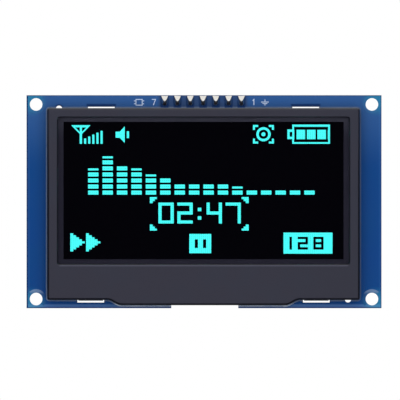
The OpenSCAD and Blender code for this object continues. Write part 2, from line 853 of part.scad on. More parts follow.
// Puts a part that stands on the plane y = 0 at [x, z], turned about Y
module on_back(place) {
    translate([place[0], 0, place[1]]) rotate([0, len(place) > 2 ? place[2] : 0, 0]) children();
}

// Ceramic chip with a metal cap and a solder fillet at each end
module chip_part(l, w, t) {
    lift = 0.04;
    fillet = min(t, 0.45);
    block([-l / 2 + lift, lift, -w / 2 + lift], [l / 2 - lift, t - lift, w / 2 - lift]);
    for (side = [0, 1]) mirror([side, 0, 0]) {
        block([l / 2 - cap_l, 0, -w / 2], [l / 2, t, w / 2]);
        translate([l / 2, 0, -w / 2]) linear_extrude(height = w) difference() {
            square(fillet);
            translate([fillet, fillet]) circle(r = fillet * 0.98);
        }
    }
}

module capacitor(i) {
    large = len(search(i, large_capacitors)) > 0;
    color("#b99a74") on_back(capacitors[i - 1])
        if (large) chip_part(large_cap_l, large_cap_w, large_cap_t);
        else chip_part(chip_part_l, chip_part_w, small_cap_t);
}

module resistor(i) {
    color("#242528") on_back(resistors[i - 1]) chip_part(chip_part_l, chip_part_w, resistor_t);
}

// Drum core: two flanges on a neck, with the lower flange cut square for its terminals
module boost_inductor() {
    color("#3a3b3d") on_back(inductor_at) {
        intersection() {
            slab(0, coil_flange) circle(d = coil_d);
            block([-coil_d * 0.46, 0, -coil_d * 0.46], [coil_d * 0.46, coil_flange, coil_d * 0.46]);
        }
        slab(0, coil_h) circle(d = coil_neck);
        slab(coil_h - coil_flange, coil_h) circle(d = coil_d);
    }
}

// Copper wire wound on the neck, from one flange to the other
module inductor_coil() {
    room = coil_h - 2 * coil_flange;
    layers = floor(room / wire_d);
    outer = coil_d / 2 - 0.25;
    color("#b8642c") on_back(inductor_at) translate([0, coil_flange, 0]) rotate([-90, 0, 0])
        rotate_extrude() {
            translate([coil_neck / 2, 0]) square([outer - coil_neck / 2 - wire_d / 2, room]);
            for (k = [0 : layers - 1])
                translate([outer - wire_d / 2, (k + 0.5) * room / layers]) circle(d = wire_d, $fn = 24);
        }
}

// Moulded package with leads on both sides; each list holds the leads' places along it
module package(l, w, t, front_leads, back_leads) {
    stand = 0.1;
    draft = 0.12;
    translate([-l / 2, 0, 0]) rotate([90, 0, 90]) linear_extrude(height = l) polygon([
        [stand, draft - w / 2], [t * 0.55, -w / 2], [t, draft - w / 2],
        [t, w / 2 - draft], [t * 0.55, w / 2], [stand, w / 2 - draft]
    ]);
    for (x = front_leads) translate([x, 0, w / 2 - draft]) lead(t * 0.55);
    for (x = back_leads) translate([x, 0, draft - w / 2]) mirror([0, 0, 1]) lead(t * 0.55);
}

// Gull-wing lead: out of the package at height up, down, and along the board
module lead(up) {
    wide = 0.4;
    shoulder = 0.12 + lead_reach * 0.3;
    translate([-wide / 2, 0, 0]) rotate([90, 0, 90]) linear_extrude(height = wide) polygon([
        [up, 0], [up, shoulder], [0, shoulder + lead_t * 0.3], [0, 0.12 + lead_reach],
        [lead_t, 0.12 + lead_reach], [lead_t, shoulder + lead_t * 1.4],
        [up + lead_t, shoulder + lead_t], [up + lead_t, 0]
    ]);
}

module boost_controller() {
    color("#202124") on_back(controller_at)
        package(package_l, package_w, package_t, [-0.95, 0, 0.95], [-0.95, 0, 0.95]);
}

module voltage_regulator() {
    color("#202124") on_back(regulator_at)
        package(package_l, package_w * 0.85, package_t, [-0.95, 0.95], [0]);
}

// Two-lead package, its leads at the ends
module schottky_diode() {
    color("#202124") on_back(concat(diode_at, [90]))
        package(package_w, package_l, package_t, [0], [0]);
}

// ---- assembly ----

circuit_board();
board_print();
front_frame();
polarizer_film();
front_glass();
cover_glass();
drying_film();
emitter_panel();
lit_dots();
driver_chip();
flex_cable();
flex_solder();
foam_tape(-1);  // foam_tape_1
foam_tape(1);  // foam_tape_2
header_body();
boost_inductor();
inductor_coil();
boost_controller();
schottky_diode();
voltage_regulator();
for (i = [1 : pin_count])
    header_pin(i);
for (i = [1 : pin_count])
    solder_joint(i);
for (i = [1 : len(capacitors)])
    capacitor(i);
for (i = [1 : len(resistors)])
    resistor(i);
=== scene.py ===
import math

import bmesh
import bpy
import numpy as np
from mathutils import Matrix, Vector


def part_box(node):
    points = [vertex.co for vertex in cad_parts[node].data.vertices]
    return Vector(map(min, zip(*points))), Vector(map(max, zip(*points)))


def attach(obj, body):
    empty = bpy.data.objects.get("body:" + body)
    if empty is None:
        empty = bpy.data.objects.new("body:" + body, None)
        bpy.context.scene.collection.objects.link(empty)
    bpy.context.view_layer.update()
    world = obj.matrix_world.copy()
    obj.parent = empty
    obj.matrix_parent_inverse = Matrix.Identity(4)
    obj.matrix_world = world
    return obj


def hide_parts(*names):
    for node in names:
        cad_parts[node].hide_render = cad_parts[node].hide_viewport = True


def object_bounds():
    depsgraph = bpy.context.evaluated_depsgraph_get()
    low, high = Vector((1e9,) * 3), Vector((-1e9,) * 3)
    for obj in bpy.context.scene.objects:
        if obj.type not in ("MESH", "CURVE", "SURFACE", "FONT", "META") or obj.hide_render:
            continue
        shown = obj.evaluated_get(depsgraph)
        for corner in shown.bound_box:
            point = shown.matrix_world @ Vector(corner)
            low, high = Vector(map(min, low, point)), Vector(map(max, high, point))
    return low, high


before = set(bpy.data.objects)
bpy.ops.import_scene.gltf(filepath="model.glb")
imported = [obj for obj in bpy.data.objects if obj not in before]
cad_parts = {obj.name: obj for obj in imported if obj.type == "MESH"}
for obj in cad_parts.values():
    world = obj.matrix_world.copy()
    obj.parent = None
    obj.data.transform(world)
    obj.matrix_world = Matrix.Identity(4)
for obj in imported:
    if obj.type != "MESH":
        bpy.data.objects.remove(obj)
cad_low, cad_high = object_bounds()

# ---- studio ----
# The module stands on its lower edge on a pale floor, in front of white. Softboxes arch over it
# from the front to the back. What lies below it and in front of it is dim, so flat faces stay
# dark and slopes that look up are bright.

MM = 0.001
scene = bpy.context.scene
scene.view_settings.view_transform = "Standard"

# Width of the view in widths of the module, and where the middle of the view lies
VIEW_W, VIEW_X, VIEW_Z = 1.127, -0.8 * MM, 0.34 * MM
camera = bpy.data.objects.new("camera", bpy.data.cameras.new("camera"))
scene.collection.objects.link(camera)
camera.data.type = "ORTHO"
camera.data.ortho_scale = VIEW_W * (cad_high.x - cad_low.x)
camera.data.clip_start, camera.data.clip_end = 0.01, 20
camera.location = (VIEW_X, -0.6, VIEW_Z)
camera.rotation_euler = (math.radians(90), 0, 0)
scene.camera = camera


def softbox(name, place, width, depth, watts):
    """Rectangular lamp at place that shines at the module."""
    lamp = bpy.data.lights.new(name, "AREA")
    lamp.shape, lamp.size, lamp.size_y, lamp.energy = "RECTANGLE", width, depth, watts
    holder = bpy.data.objects.new(name, lamp)
    scene.collection.objects.link(holder)
    holder.location = place
    holder.rotation_euler = (-Vector(place)).to_track_quat("-Z", "Y").to_euler()
    return holder


softbox("front_box", (0, -0.34, 0.36), 0.8, 0.34, 0.8)
softbox("top_box", (0, 0.02, 0.5), 0.8, 0.5, 1.3)
softbox("back_box", (0, 0.4, 0.3), 0.8, 0.4, 1.6)
softbox("front_fill", (0, -0.9, 0.0), 1.4, 1.1, 12.5).visible_glossy = False
softbox("back_fill", (0, 0.9, 0.1), 1.4, 1.1, 7.5).visible_glossy = False
softbox("back_card", (0, 0.9, 0.0), 1.4, 1.1, 1.5)
for side in (-1, 1):
    softbox("side_fill", (side * 0.8, 0, 0.15), 0.7, 0.7, 2.0).visible_glossy = False

world = bpy.data.worlds.new("studio")
scene.world = world
world.use_nodes = True
sky = world.node_tree
sky.nodes.clear()
seen, dim = (sky.nodes.new("ShaderNodeBackground") for _ in range(2))
seen.inputs["Color"].default_value = (1, 1, 1, 1)
dim.inputs["Color"].default_value = (0.9, 0.95, 1, 1)
# The room is nearly dark in front of the module and brighter behind it
DIM_FRONT, DIM_BACK = 0.025, 0.3
toward = sky.nodes.new("ShaderNodeSeparateXYZ")
sky.links.new(sky.nodes.new("ShaderNodeTexCoord").outputs["Generated"], toward.inputs[0])
behind = sky.nodes.new("ShaderNodeMapRange")
for socket, value in (("From Min", 0.2), ("From Max", 0.6), ("To Min", DIM_FRONT), ("To Max", DIM_BACK)):
    behind.inputs[socket].default_value = value
sky.links.new(toward.outputs["Y"], behind.inputs["Value"])
sky.links.new(behind.outputs[0], dim.inputs["Strength"])
ray = sky.nodes.new("ShaderNodeLightPath")
either = sky.nodes.new("ShaderNodeMixShader")
out = sky.nodes.new("ShaderNodeOutputWorld")
sky.links.new(ray.outputs["Is Camera Ray"], either.inputs[0])
sky.links.new(dim.outputs[0], either.inputs[1])
sky.links.new(seen.outputs[0], either.inputs[2])
sky.links.new(either.outputs[0], out.inputs["Surface"])

FLOOR_REACH, FLOOR_Z = 3, cad_low.z - 0.02 * MM
floor_mesh = bpy.data.meshes.new("floor")
floor_mesh.from_pydata([(x * FLOOR_REACH, y * FLOOR_REACH, FLOOR_Z)
                        for x, y in ((-1, -1), (1, -1), (1, 1), (-1, 1))], [], [(0, 1, 2, 3)])
floor = bpy.data.objects.new("floor", floor_mesh)
scene.collection.objects.link(floor)
floor_paint = bpy.data.materials.new("floor_paint")
floor_paint.use_nodes = True
floor_shader = floor_paint.node_tree.nodes["Principled BSDF"]
floor_shader.inputs["Base Color"].default_value = (0.8, 0.8, 0.8, 1)
floor_shader.inputs["Roughness"].default_value = 0.9
floor_mesh.materials.append(floor_paint)
floor.visible_glossy = floor.visible_diffuse = floor.visible_shadow = False

# ---- circuit board ----
# Glass-fibre board, 1.6 mm thick, with copper on both faces under a blue solder mask. The mask
# looks lighter over copper. Round the edge, the slots and the pin pads the copper is cut back.


def tone(red, green, blue):
    """Linear colour from the 0 to 255 values of a screen colour."""
    screen = np.array([red, green, blue]) / 255
    linear = np.where(screen > 0.04045, ((screen + 0.055) / 1.055) ** 2.4, screen / 12.92)
    return (*linear.tolist(), 1.0)


class Field:
    """A number that varies over a surface, so that a pattern can be written as a formula."""

    def __init__(self, tree, socket):
        self.tree, self.socket = tree, socket

    def math(self, operation, *others):
        """This number and the others, put through one math operation."""
        node = self.tree.nodes.new("ShaderNodeMath")
        node.operation = operation
        for slot, value in zip(node.inputs, (self, *others)):
            if isinstance(value, Field):
                self.tree.links.new(value.socket, slot)
            else:
                slot.default_value = value
        return Field(self.tree, node.outputs[0])

    def __add__(self, other):
        return self.math("ADD", other)

    def __sub__(self, other):
        return self.math("SUBTRACT", other)

    def __mul__(self, other):
        return self.math("MULTIPLY", other)

    def __abs__(self):
        return self.math("ABSOLUTE")

    def least(self, other):
        """The smaller of the two numbers."""
        return self.math("MINIMUM", other)

    def most(self, other):
        """The larger of the two numbers."""
        return self.math("MAXIMUM", other)

    def far(self, other):
        """Distance from the origin of a point that has these two coordinates."""
        return (self * self + other * other).math("SQRT")

    def rise(self, start, end):
        """0 at start, 1 at end, and a smooth slope between them; end may be below start."""
        node = self.tree.nodes.new("ShaderNodeMapRange")
        node.interpolation_type = "SMOOTHSTEP"
        self.tree.links.new(self.socket, node.inputs["Value"])
        falls = start > end
        node.inputs["From Min"].default_value = min(start, end)
        node.inputs["From Max"].default_value = max(start, end)
        node.inputs["To Min"].default_value = float(falls)
        node.inputs["To Max"].default_value = float(not falls)
        return Field(self.tree, node.outputs[0])

    def repeat(self, pitch):
        """The coordinate folded to lie within half a pitch of 0."""
        return self.math("WRAP", pitch / 2, -pitch / 2)


class Finish:
    """A material being mixed: one Principled shader, and the piece's own X, Y and Z in mm."""

    def __init__(self, name, colour, roughness, metal=0.0):
        self.material = bpy.data.materials.new(name)
        self.material.use_nodes = True
        self.tree = self.material.node_tree
        self.shader = self.tree.nodes["Principled BSDF"]
        self.shader.inputs["Base Color"].default_value = colour
        self.shader.inputs["Roughness"].default_value = roughness
        self.shader.inputs["Metallic"].default_value = metal
        self.place = self.tree.nodes.new("ShaderNodeMapping")
        self.place.inputs["Scale"].default_value = (1 / MM,) * 3
        coordinates = self.tree.nodes.new("ShaderNodeTexCoord")
        self.tree.links.new(coordinates.outputs["Object"], self.place.inputs[0])
        split = self.tree.nodes.new("ShaderNodeSeparateXYZ")
        self.tree.links.new(self.place.outputs[0], split.inputs[0])
        self.x, self.y, self.z = (Field(self.tree, socket) for socket in split.outputs)

    def noise(self, size, detail=2.0, stretch=(1, 1, 1)):
        """Uneven field from 0 to 1 with blotches about size mm across, drawn out by stretch."""
        spread = self.tree.nodes.new("ShaderNodeMapping")
        spread.inputs["Scale"].default_value = [1 / s for s in stretch]
        self.tree.links.new(self.place.outputs[0], spread.inputs[0])
        node = self.tree.nodes.new("ShaderNodeTexNoise")
        node.inputs["Scale"].default_value = 1 / size
        node.inputs["Detail"].default_value = detail
        self.tree.links.new(spread.outputs[0], node.inputs["Vector"])
        return Field(self.tree, node.outputs[0])

    def paint(self, share, colour):
        """Puts colour over what is there, as far as share says."""
        mix = self.tree.nodes.new("ShaderNodeMix")
        mix.data_type = "RGBA"
        self.tree.links.new(share.socket, mix.inputs["Factor"])
        under, over = (socket for socket in mix.inputs[1:] if socket.type == "RGBA")
        target = self.shader.inputs["Base Color"]
        if target.is_linked:
            self.tree.links.new(target.links[0].from_socket, under)
        else:
            under.default_value = target.default_value
        over.default_value = colour
        self.tree.links.new(mix.outputs[2], target)

    def drive(self, socket, field):
        """Lets a field set one of the shader's sockets."""
        self.tree.links.new(field.socket, self.shader.inputs[socket])

    def bump(self, height, depth):
        """Relief depth mm deep, where height runs from 0 to 1."""
        node = self.tree.nodes.new("ShaderNodeBump")
        node.inputs["Distance"].default_value = depth * MM
        self.tree.links.new(height.socket, node.inputs["Height"])
        self.tree.links.new(node.outputs[0], self.shader.inputs["Normal"])

    def dress(self, *names):
        """Gives the material to these CAD nodes."""
        for name in names:
            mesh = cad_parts[name].data
            mesh.materials.clear()
            mesh.materials.append(self.material)


def box_of(node):
    """Lowest and highest corner of a CAD node, in millimetres."""
    return [np.array(corner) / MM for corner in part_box(node)]


board_low, board_high = box_of("circuit_board")
frame_low, frame_high = box_of("front_frame")
frame_x = (frame_low[0] + frame_high[0]) / 2
first_pin, last_pin = box_of("header_pin_1"), box_of("header_pin_7")
PIN_COUNT, PIN_PITCH, PAD_W, PAD_H = 7, 2.54, 1.4, 2.3
header_x = (first_pin[0][0] + last_pin[1][0]) / 2
header_z = (first_pin[0][2] + first_pin[1][2]) / 2
PIN_X = header_x + (np.arange(PIN_COUNT) - (PIN_COUNT - 1) / 2) * PIN_PITCH
HOLE_X, HOLE_Z = board_high[0] - 1.9, board_high[2] - 1.825
BOARD_FACE = board_low[1]
# No copper lies round the frame's slots and pin hole: place, half width and half height, or radius
TOP_SLOT_X, TOP_SLOT_Z, TOP_CLEAR_W, TOP_CLEAR_H = 20.3, 18.6, 2.72, 0.62
LOW_SLOT_X, LOW_SLOT_Z, LOW_CLEAR_W, LOW_CLEAR_H = 22.4, -19.52, 2.65, 0.45
PIN_HOLE_X, PIN_HOLE_Z, PIN_CLEAR_R = -28.8, 18.47, 0.7

mask = Finish("blue_solder_mask", tone(0, 58, 118), 0.2)
mask.shader.inputs["Specular IOR Level"].default_value = 0.3
# Distances in from the board's edges, with the copper nearer to all edges but the left one, and
# out from the slots, the pin hole and the pins' pads
NEARER = 0.13
side_gap = (mask.x + board_high[0]).least(mask.x * -1 + board_high[0] + NEARER)
edge_gap = side_gap.least(abs(mask.z) * -1 + board_high[2] + NEARER)
from_middle = abs(mask.x - frame_x)
top_slot = (abs(from_middle - TOP_SLOT_X) - TOP_CLEAR_W).most(abs(mask.z - TOP_SLOT_Z) - TOP_CLEAR_H)
low_slot = (abs(from_middle - LOW_SLOT_X) - LOW_CLEAR_W).most(abs(mask.z - LOW_SLOT_Z) - LOW_CLEAR_H)
pin_hole = (mask.x - PIN_HOLE_X).far(mask.z - PIN_HOLE_Z) - PIN_CLEAR_R
kept_clear = top_slot.least(low_slot).least(pin_hole)
pad_side = abs((mask.x - header_x).repeat(PIN_PITCH)) - PAD_W / 2
beside_pins = abs(mask.x - header_x) - PIN_COUNT / 2 * PIN_PITCH
pad = pad_side.most(abs(mask.z - header_z) - PAD_H / 2 + 0.1).most(beside_pins + 0.4)
copper = edge_gap.rise(0.2, 0.34) * kept_clear.rise(0.05, 0.3) * pad.rise(0.02, 0.2)
mask.paint(mask.noise(8, 3).rise(0.3, 0.7) * 0.4, tone(0, 54, 122))


def top_light_and_corner_tint(finish):
    """Painted light on the mask, paler and redder towards the top; and a greener tint round the four
    corners.
    """
    finish.paint(finish.z.rise(6, 18.5) * 0.6, tone(46, 86, 138))
    corner = (abs(finish.x) - HOLE_X - 0.9).far(abs(finish.z) - HOLE_Z - 0.7)
    finish.paint(corner.rise(3.4, 0.8) * 0.85, tone(24, 110, 148))


top_light_and_corner_tint(mask)
# Painted highlights along the sides and the lower edge, blotchy painted shade round the pins, and darker
# mask where the copper is cut back
mask.paint(side_gap.rise(0.3, 0.4) * side_gap.rise(0.7, 0.5) * 0.12, tone(70, 122, 180))
low_gap = mask.z + board_high[2]
mask.paint(low_gap.rise(0.2, 0.35) * low_gap.rise(0.95, 0.6) * 0.24, tone(110, 150, 200))
on_front = mask.y.rise(-1, -1.5)
# Painted shade round the header pins
pin_shade = beside_pins.rise(0.3, -0.5) * mask.z.rise(header_z - 1.5, header_z - 0.9) * on_front
mask.paint(pin_shade * (mask.noise(0.7, 3) * 0.5 + 0.35), tone(38, 50, 78))
mask.paint(copper * -1 + 1, tone(12, 44, 92))
# The glass cloth prints through the mask, and shows on the cut edges between the two faces
WEAVE = 0.42
weave = mask.x.repeat(WEAVE) * mask.z.repeat(WEAVE) * 20
core = mask.y.rise(BOARD_FACE + 0.02, BOARD_FACE + 0.05) * mask.y.rise(-0.02, -0.05)
mask.paint(core, tone(150, 142, 86))
mask.paint(core * mask.noise(0.1, 3, (8, 0.6, 8)).rise(0.4, 0.65) * 0.7, tone(104, 98, 56))
mask.drive("Roughness", mask.noise(3) * 0.06 + 0.18 + core * 0.5)
mask.bump(copper * 0.9 + weave * 0.06 + mask.noise(0.8) * 0.1, 0.035)
mask.dress("circuit_board")


def skin(rings):
    """Surface through a stack of rings of points (rows, columns, 3). Quads join each ring to the
    next, and a flat cap shuts each end."""
    rows, columns = rings.shape[:2]
    index = np.arange(rows * columns).reshape(rows, columns)
    beside = np.roll(index, -1, axis=1)
    quads = np.stack([index[:-1], beside[:-1], beside[1:], index[1:]], axis=-1).reshape(-1, 4)
    return rings.reshape(-1, 3), quads.tolist() + [index[0][::-1].tolist(), index[-1].tolist()]


def turned(profile, x, z, sides):
    """A profile of (radius, y) pairs turned about the line along Y through x, z."""
    radius, y = np.asarray(profile, float).T
    turn = np.linspace(0, 2 * np.pi, sides, endpoint=False)
    return skin(np.stack([
        x + radius[:, None] * np.cos(turn), y[:, None] + 0 * turn,
        z + radius[:, None] * np.sin(turn)], axis=-1))


def strip(path, axis, deep, wide, bevel=0.0):
    """Flat strip along a path that lies in a plane square to axis. Its section is deep along axis
    and wide across the path, and its far face is narrower by bevel on each side. At a corner it is
    widened by one over the cosine of half the turn."""
    path, axis = np.asarray(path, float), np.asarray(axis, float)
    step = np.diff(path, axis=0)
    step /= np.linalg.norm(step, axis=1, keepdims=True)
    before, after = np.vstack([step[:1], step]), np.vstack([step, step[-1:]])
    across = np.cross(axis, before + after)
    across /= np.linalg.norm(across, axis=1, keepdims=True)
    widen = 1 / (across * np.cross(axis, before)).sum(1)
    side = np.array([-wide, wide, wide - 2 * bevel, 2 * bevel - wide]) / 2
    height = np.array([0, 0, deep, deep])
    return skin(path[:, None] + across[:, None] * (widen[:, None] * side)[..., None]
                + axis * height[:, None])


def rounded_block(low, high, r, steps=3):
    """Block with every edge rounded to r. Round rectangles are stacked along Y; near each end they
    shrink by r (1 - sin a) as they rise by r (1 - cos a)."""
    low, high = np.asarray(low, float), np.asarray(high, float)
    arc = np.linspace(0, np.pi / 2, steps + 1)
    shrink = np.clip(r * (1 - np.sin(arc)), 0.02 * r, 0.94 * r)
    shrink = np.concatenate([shrink, shrink[::-1]])
    climb = r * (1 - np.cos(arc))
    level = np.concatenate([low[1] + climb, high[1] - climb[::-1]])
    turn = np.concatenate([arc + k * np.pi / 2 for k in range(4)])
    right, up = np.repeat([1, -1, -1, 1], steps + 1), np.repeat([1, 1, -1, -1], steps + 1)
    middle, half = (low + high) / 2, (high - low) / 2 - r
    rings = np.empty((len(level), len(turn), 3))
    rings[..., 1] = level[:, None]
    for axis, sign, wave in ((0, right, np.cos(turn)), (2, up, np.sin(turn))):
        rings[..., axis] = middle[axis] + sign * half[axis] + (r - shrink)[:, None] * wave
    return skin(rings)


def piece(name, groups, replaces=(), smooth=35):
    """One finished piece that rides on the module. Each group is a finish and its parts, and each
    part is points in millimetres and faces."""
    points, faces, numbers, start = [], [], [], 0
    for number, (finish, parts) in enumerate(groups):
        for part_points, part_faces in parts:
            points.append(part_points)
            faces += [[corner + start for corner in face] for face in part_faces]
            numbers += [number] * len(part_faces)
            start += len(part_points)
    mesh = bpy.data.meshes.new(name)
    mesh.from_pydata((np.concatenate(points) * MM).tolist(), [], faces)
    for finish, _ in groups:
        mesh.materials.append(finish.material)
    mesh.polygons.foreach_set("material_index", numbers)
    work = bmesh.new()
    work.from_mesh(mesh)
    bmesh.ops.recalc_face_normals(work, faces=work.faces)
    work.to_mesh(mesh)
    work.free()
    mesh.shade_smooth()
    mesh.set_sharp_from_angle(angle=math.radians(smooth))
    made = bpy.data.objects.new(name, mesh)
    scene.collection.objects.link(made)
    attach(made, "root")
    if replaces:
        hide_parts(*replaces)


# ---- copper under the mask ----
# Copper left by etching stands 0.035 mm proud, and the mask flows over it: a ring round each
# mounting hole, and on the back the tracks from the cable and the power parts, with their vias.

COPPER_T, SUNK, RING_R, RING_W = 0.035, 0.01, 1.65, 0.6
covered = Finish("mask_over_copper", tone(26, 80, 156), 0.28)
covered.paint(covered.noise(6, 3).rise(0.35, 0.7) * 0.5, tone(20, 70, 146))
covered.bump(covered.noise(0.5), 0.02)


def hole_ring(x, z, face, side):
    """Ring round a mounting hole, open where it would run over the board's corner."""
    turn = np.radians(np.linspace(137, 315, 40))
    across, up = RING_R * np.cos(turn) * np.sign(x), RING_R * np.sin(turn) * np.sign(z)
    path = np.stack([x + across, 0 * turn + face, z + up], axis=-1)
    return strip(path, (0, side, 0), COPPER_T, RING_W, COPPER_T)


corners = [(x, z) for x in (-HOLE_X, HOLE_X) for z in (-HOLE_Z, HOLE_Z)]
ring_mask = Finish("mask_on_hole_ring", tone(0, 56, 118), 0.24)
top_light_and_corner_tint(ring_mask)
# The arcs above the two lower holes catch the light
above_hole = (ring_mask.z + HOLE_Z).rise(0.8, 1.6) * ring_mask.z.rise(0, -1)
ring_mask.paint(above_hole * 0.6, tone(112, 134, 166))
ring_mask.bump(ring_mask.noise(0.5), 0.02)
piece("front_hole_rings",
      [(ring_mask, [hole_ring(x, z, BOARD_FACE, -1) for x, z in corners])])

CONTACT_PITCH, CONTACTS = 0.5, 24
CONTACT_X = frame_x + (np.arange(CONTACTS) - (CONTACTS - 1) / 2) * CONTACT_PITCH
contact_top = box_of("flex_solder")[1][2]


def track(points, wide=0.22):
    """Track on the back, its points given as x, z. It starts just inside the board, and its top is
    a hair lower for a wider track, so that no two tops lie in one plane."""
    points = np.asarray(points, float)
    path = np.stack([points[:, 0], 0 * points[:, 0] - SUNK, points[:, 1]], axis=-1)
    thick = COPPER_T + SUNK - 0.002 * wide - 0.00004 * abs(points[-1, 0])
    return strip(path, (0, 1, 0), thick, wide, COPPER_T)


def slanted(x, low, high, to_x, turn):
    """Track from x at height low, straight up to turn, at 45 degrees to to_x, and up to high."""
    return track([(x, low), (x, turn), (to_x, turn + abs(to_x - x)), (to_x, high)])


def via(x, z):
    """Ring of copper with its hole filled by mask."""
    top = COPPER_T + 0.003
    return turned([(0.3, -SUNK), (0.27, top), (0.16, top), (0.1, 0.3 * COPPER_T), (0.02, 0.2 * COPPER_T)],
                  x, z, 20)


under_pin = header_z - 1
SELECT_X = -14 + 2.2 * np.arange(5)
# From the cable's contacts up to six of the header's pins
tracks = [slanted(CONTACT_X[k], contact_top, under_pin, PIN_X[pin], turn)
          for k, pin, turn in ((4, 1, 13.5), (5, 2, 12), (11, 3, 10), (13, 4, 8), (18, 5, 6.5), (20, 6, 4))]
# From other contacts to the first pin, to a select resistor and to vias
tracks += [
    track([(CONTACT_X[0], contact_top), (-6.3, contact_top + 0.6), (-6.3, 13), (PIN_X[0], 14.52),
           (PIN_X[0], under_pin)]),
    track([(CONTACT_X[3], contact_top), (CONTACT_X[3], 6.8), (-5.2, 7.65), (-5.2, 8.7)]),
    track([(CONTACT_X[6], contact_top), (CONTACT_X[6], -4)]),
    track([(CONTACT_X[10], contact_top), (CONTACT_X[10], 1)]),
    track([(CONTACT_X[12], contact_top), (CONTACT_X[12], -2.5)]),
    track([(CONTACT_X[17], contact_top), (CONTACT_X[17], -5.5)]),
    track([(CONTACT_X[19], contact_top), (CONTACT_X[19], -1)]),
    track([(CONTACT_X[23], contact_top), (7, contact_top + 1.35), (7, -7.5), (8.6, -5.9), (26, -5.9),
           (28.5, -3.4), (28.5, 6)]),
]
tracks += [track([(CONTACT_X[k], contact_top), (CONTACT_X[k], -11.2)], 0.3) for k in (1, 8, 15, 22)]
# From four of the five select resistors to vias
tracks += [track([(SELECT_X[i], 8.7), (SELECT_X[i], 7.2 - 0.5 * i), (-16.4, 4.8 - 0.5 * i),
                  (-21, 4.8 - 0.5 * i)]) for i in range(4)]
# Wider tracks along the select resistors and between the power parts, the supply and the last pin
tracks += [
    track([(-14, 11.4), (-5.2, 11.4)], 0.4),
    track([(-27.3, -8.5), (-24.1, -8.5)], 1.15),
    track([(-20.4, -9), (-20.4, -5.2)], 1.1),
    track([(-20.4, -7.6), (-18.2, -6.9), (-16.8, -6.9), (-16.8, -8.2)], 0.7),
    track([(-24.6, -4.65), (-29, -4.65), (-30.6, -3.05), (-30.6, 3)], 1.0),
    track([(-16.8, -10.9), (-16.8, -13.4)], 0.6),
    track([(-14.9, -10.9), (-14.9, -13.4)], 0.6),
    track([(-14.9, -8.2), (-14.9, -6.6), (-13.8, -5.5), (-13.3, -5.45)], 0.4),
    track([(-11.7, -5.45), (-10, -5.45), (-8.6, -6.85), (-8.6, -9.4)], 0.3),
    track([(PIN_X[6], under_pin), (PIN_X[6] + 1.6, under_pin - 1.6), (11.4, under_pin - 1.6),
           (13.55, under_pin - 3.75), (13.55, 11.6)], 0.6),
    track([(13.55, 12.3), (17.9, 12.3), (17.9, 11.8)], 0.6),
    track([(18.85, 9), (18.85, 7.6), (23.2, 7.6), (24.15, 8.55), (24.15, 9.4)], 0.6),
    track([(19.8, 11.8), (19.8, 12.9), (24.15, 12.9), (24.15, 11.5)], 0.6),
    track([(9, -9.4), (9, -8.4), (13.4, -8.4), (13.4, -9.4)], 0.3),
    track([(11.2, -9.4), (11.2, -8.4)], 0.3),
]
via_places = [(-21 - 0.9 * (i % 2), 4.8 - 0.5 * i) for i in range(4)]
via_places += [(-2.85, -4), (-0.85, 1), (0.15, -2.5), (2.65, -5.5), (3.65, -1), (28.5, 6), (-30.6, 3),
               (-29.9, 3.6), (-31.3, 3.6), (-30.6, 4.3)]
via_places += [(side * 33, z) for side in (-1, 1) for z in np.linspace(-14, 14, 8)]
via_places += [(x, -16.5) for x in (-24, -19, -14, 14, 19, 24)]
piece("back_tracks", [
    (covered, tracks + [via(x, z) for x, z in via_places]
     + [hole_ring(x, z, 0, 1) for x, z in corners])])

# ---- screen ink ----
# White ink screened over the mask: a line round the frame, the numbers of the first and last pin,
# with small signs beside them, and on the back the outlines of the parts and the pins' numbers.

INK_T = 0.025
ink = Finish("board_ink", tone(176, 190, 214), 0.6)
ink.paint(ink.noise(0.2, 3).rise(0.5, 0.75) * 0.5, tone(96, 122, 170))
ink.bump(ink.noise(0.12), 0.01)
thin_ink = Finish("thin_ink", tone(92, 106, 130), 0.6)
# Painted light and shade on the outline: brighter along the lower edge and darker along the right side
thin_ink.paint(thin_ink.z.rise(-19.9, -20.5) * 0.85, tone(168, 178, 192))
thin_ink.paint(thin_ink.x.rise(30.2, 30.9) * 0.7, tone(44, 62, 100))
thin_ink.paint(thin_ink.noise(0.6, 3).rise(0.4, 0.75) * 0.5, tone(60, 84, 124))
thin_ink.dress("board_print")

# Each figure as one stroke on a grid one wide and 1.6 high
FIGURES = {
    "0": [(0.3, 0), (0, 0.3), (0, 1.3), (0.3, 1.6), (0.7, 1.6), (1, 1.3), (1, 0.3), (0.7, 0), (0.29, 0)],
    "1": [(0.15, 1.25), (0.5, 1.6), (0.5, 0)],
    "2": [(0, 1.3), (0.3, 1.6), (0.7, 1.6), (1, 1.3), (1, 1), (0, 0), (1, 0)],
    "3": [(0, 1.6), (1, 1.6), (0.5, 1), (0.8, 0.95), (1, 0.7), (1, 0.3), (0.7, 0), (0.3, 0), (0, 0.25)],
    "4": [(0.75, 0), (0.75, 1.6), (0, 0.45), (1, 0.45)],
    "5": [(1, 1.6), (0.05, 1.6), (0, 0.9), (0.7, 0.95), (1, 0.7), (1, 0.3), (0.7, 0), (0.3, 0),
          (0, 0.2)],
    "6": [(0.85, 1.6), (0.35, 1.4), (0, 0.8), (0, 0.3), (0.3, 0), (0.7, 0), (1, 0.3), (1, 0.6),
          (0.7, 0.9), (0.3, 0.9), (0.02, 0.65)],
    "7": [(0, 1.6), (1, 1.6), (0.4, 0)],
}


def stroke(points, face, side, wide=0.16):
    """Line of ink through points given as x, z, on a face at y = face."""
    points = np.asarray(points, float)
    path = np.stack([points[:, 0], face + 0 * points[:, 0], points[:, 1]], axis=-1)
    return strip(path, (0, side, 0), INK_T, wide)


def figures(text, x, z, height, face, side, wide=0.16):
    """Strokes for a number whose lower left corner, as it is read, is at x, z."""
    step = height / 1.6
    return [stroke([(x - side * step * (px + 1.45 * n), z + step * pz) for px, pz in FIGURES[figure]],
                   face, side, wide) for n, figure in enumerate(text)]


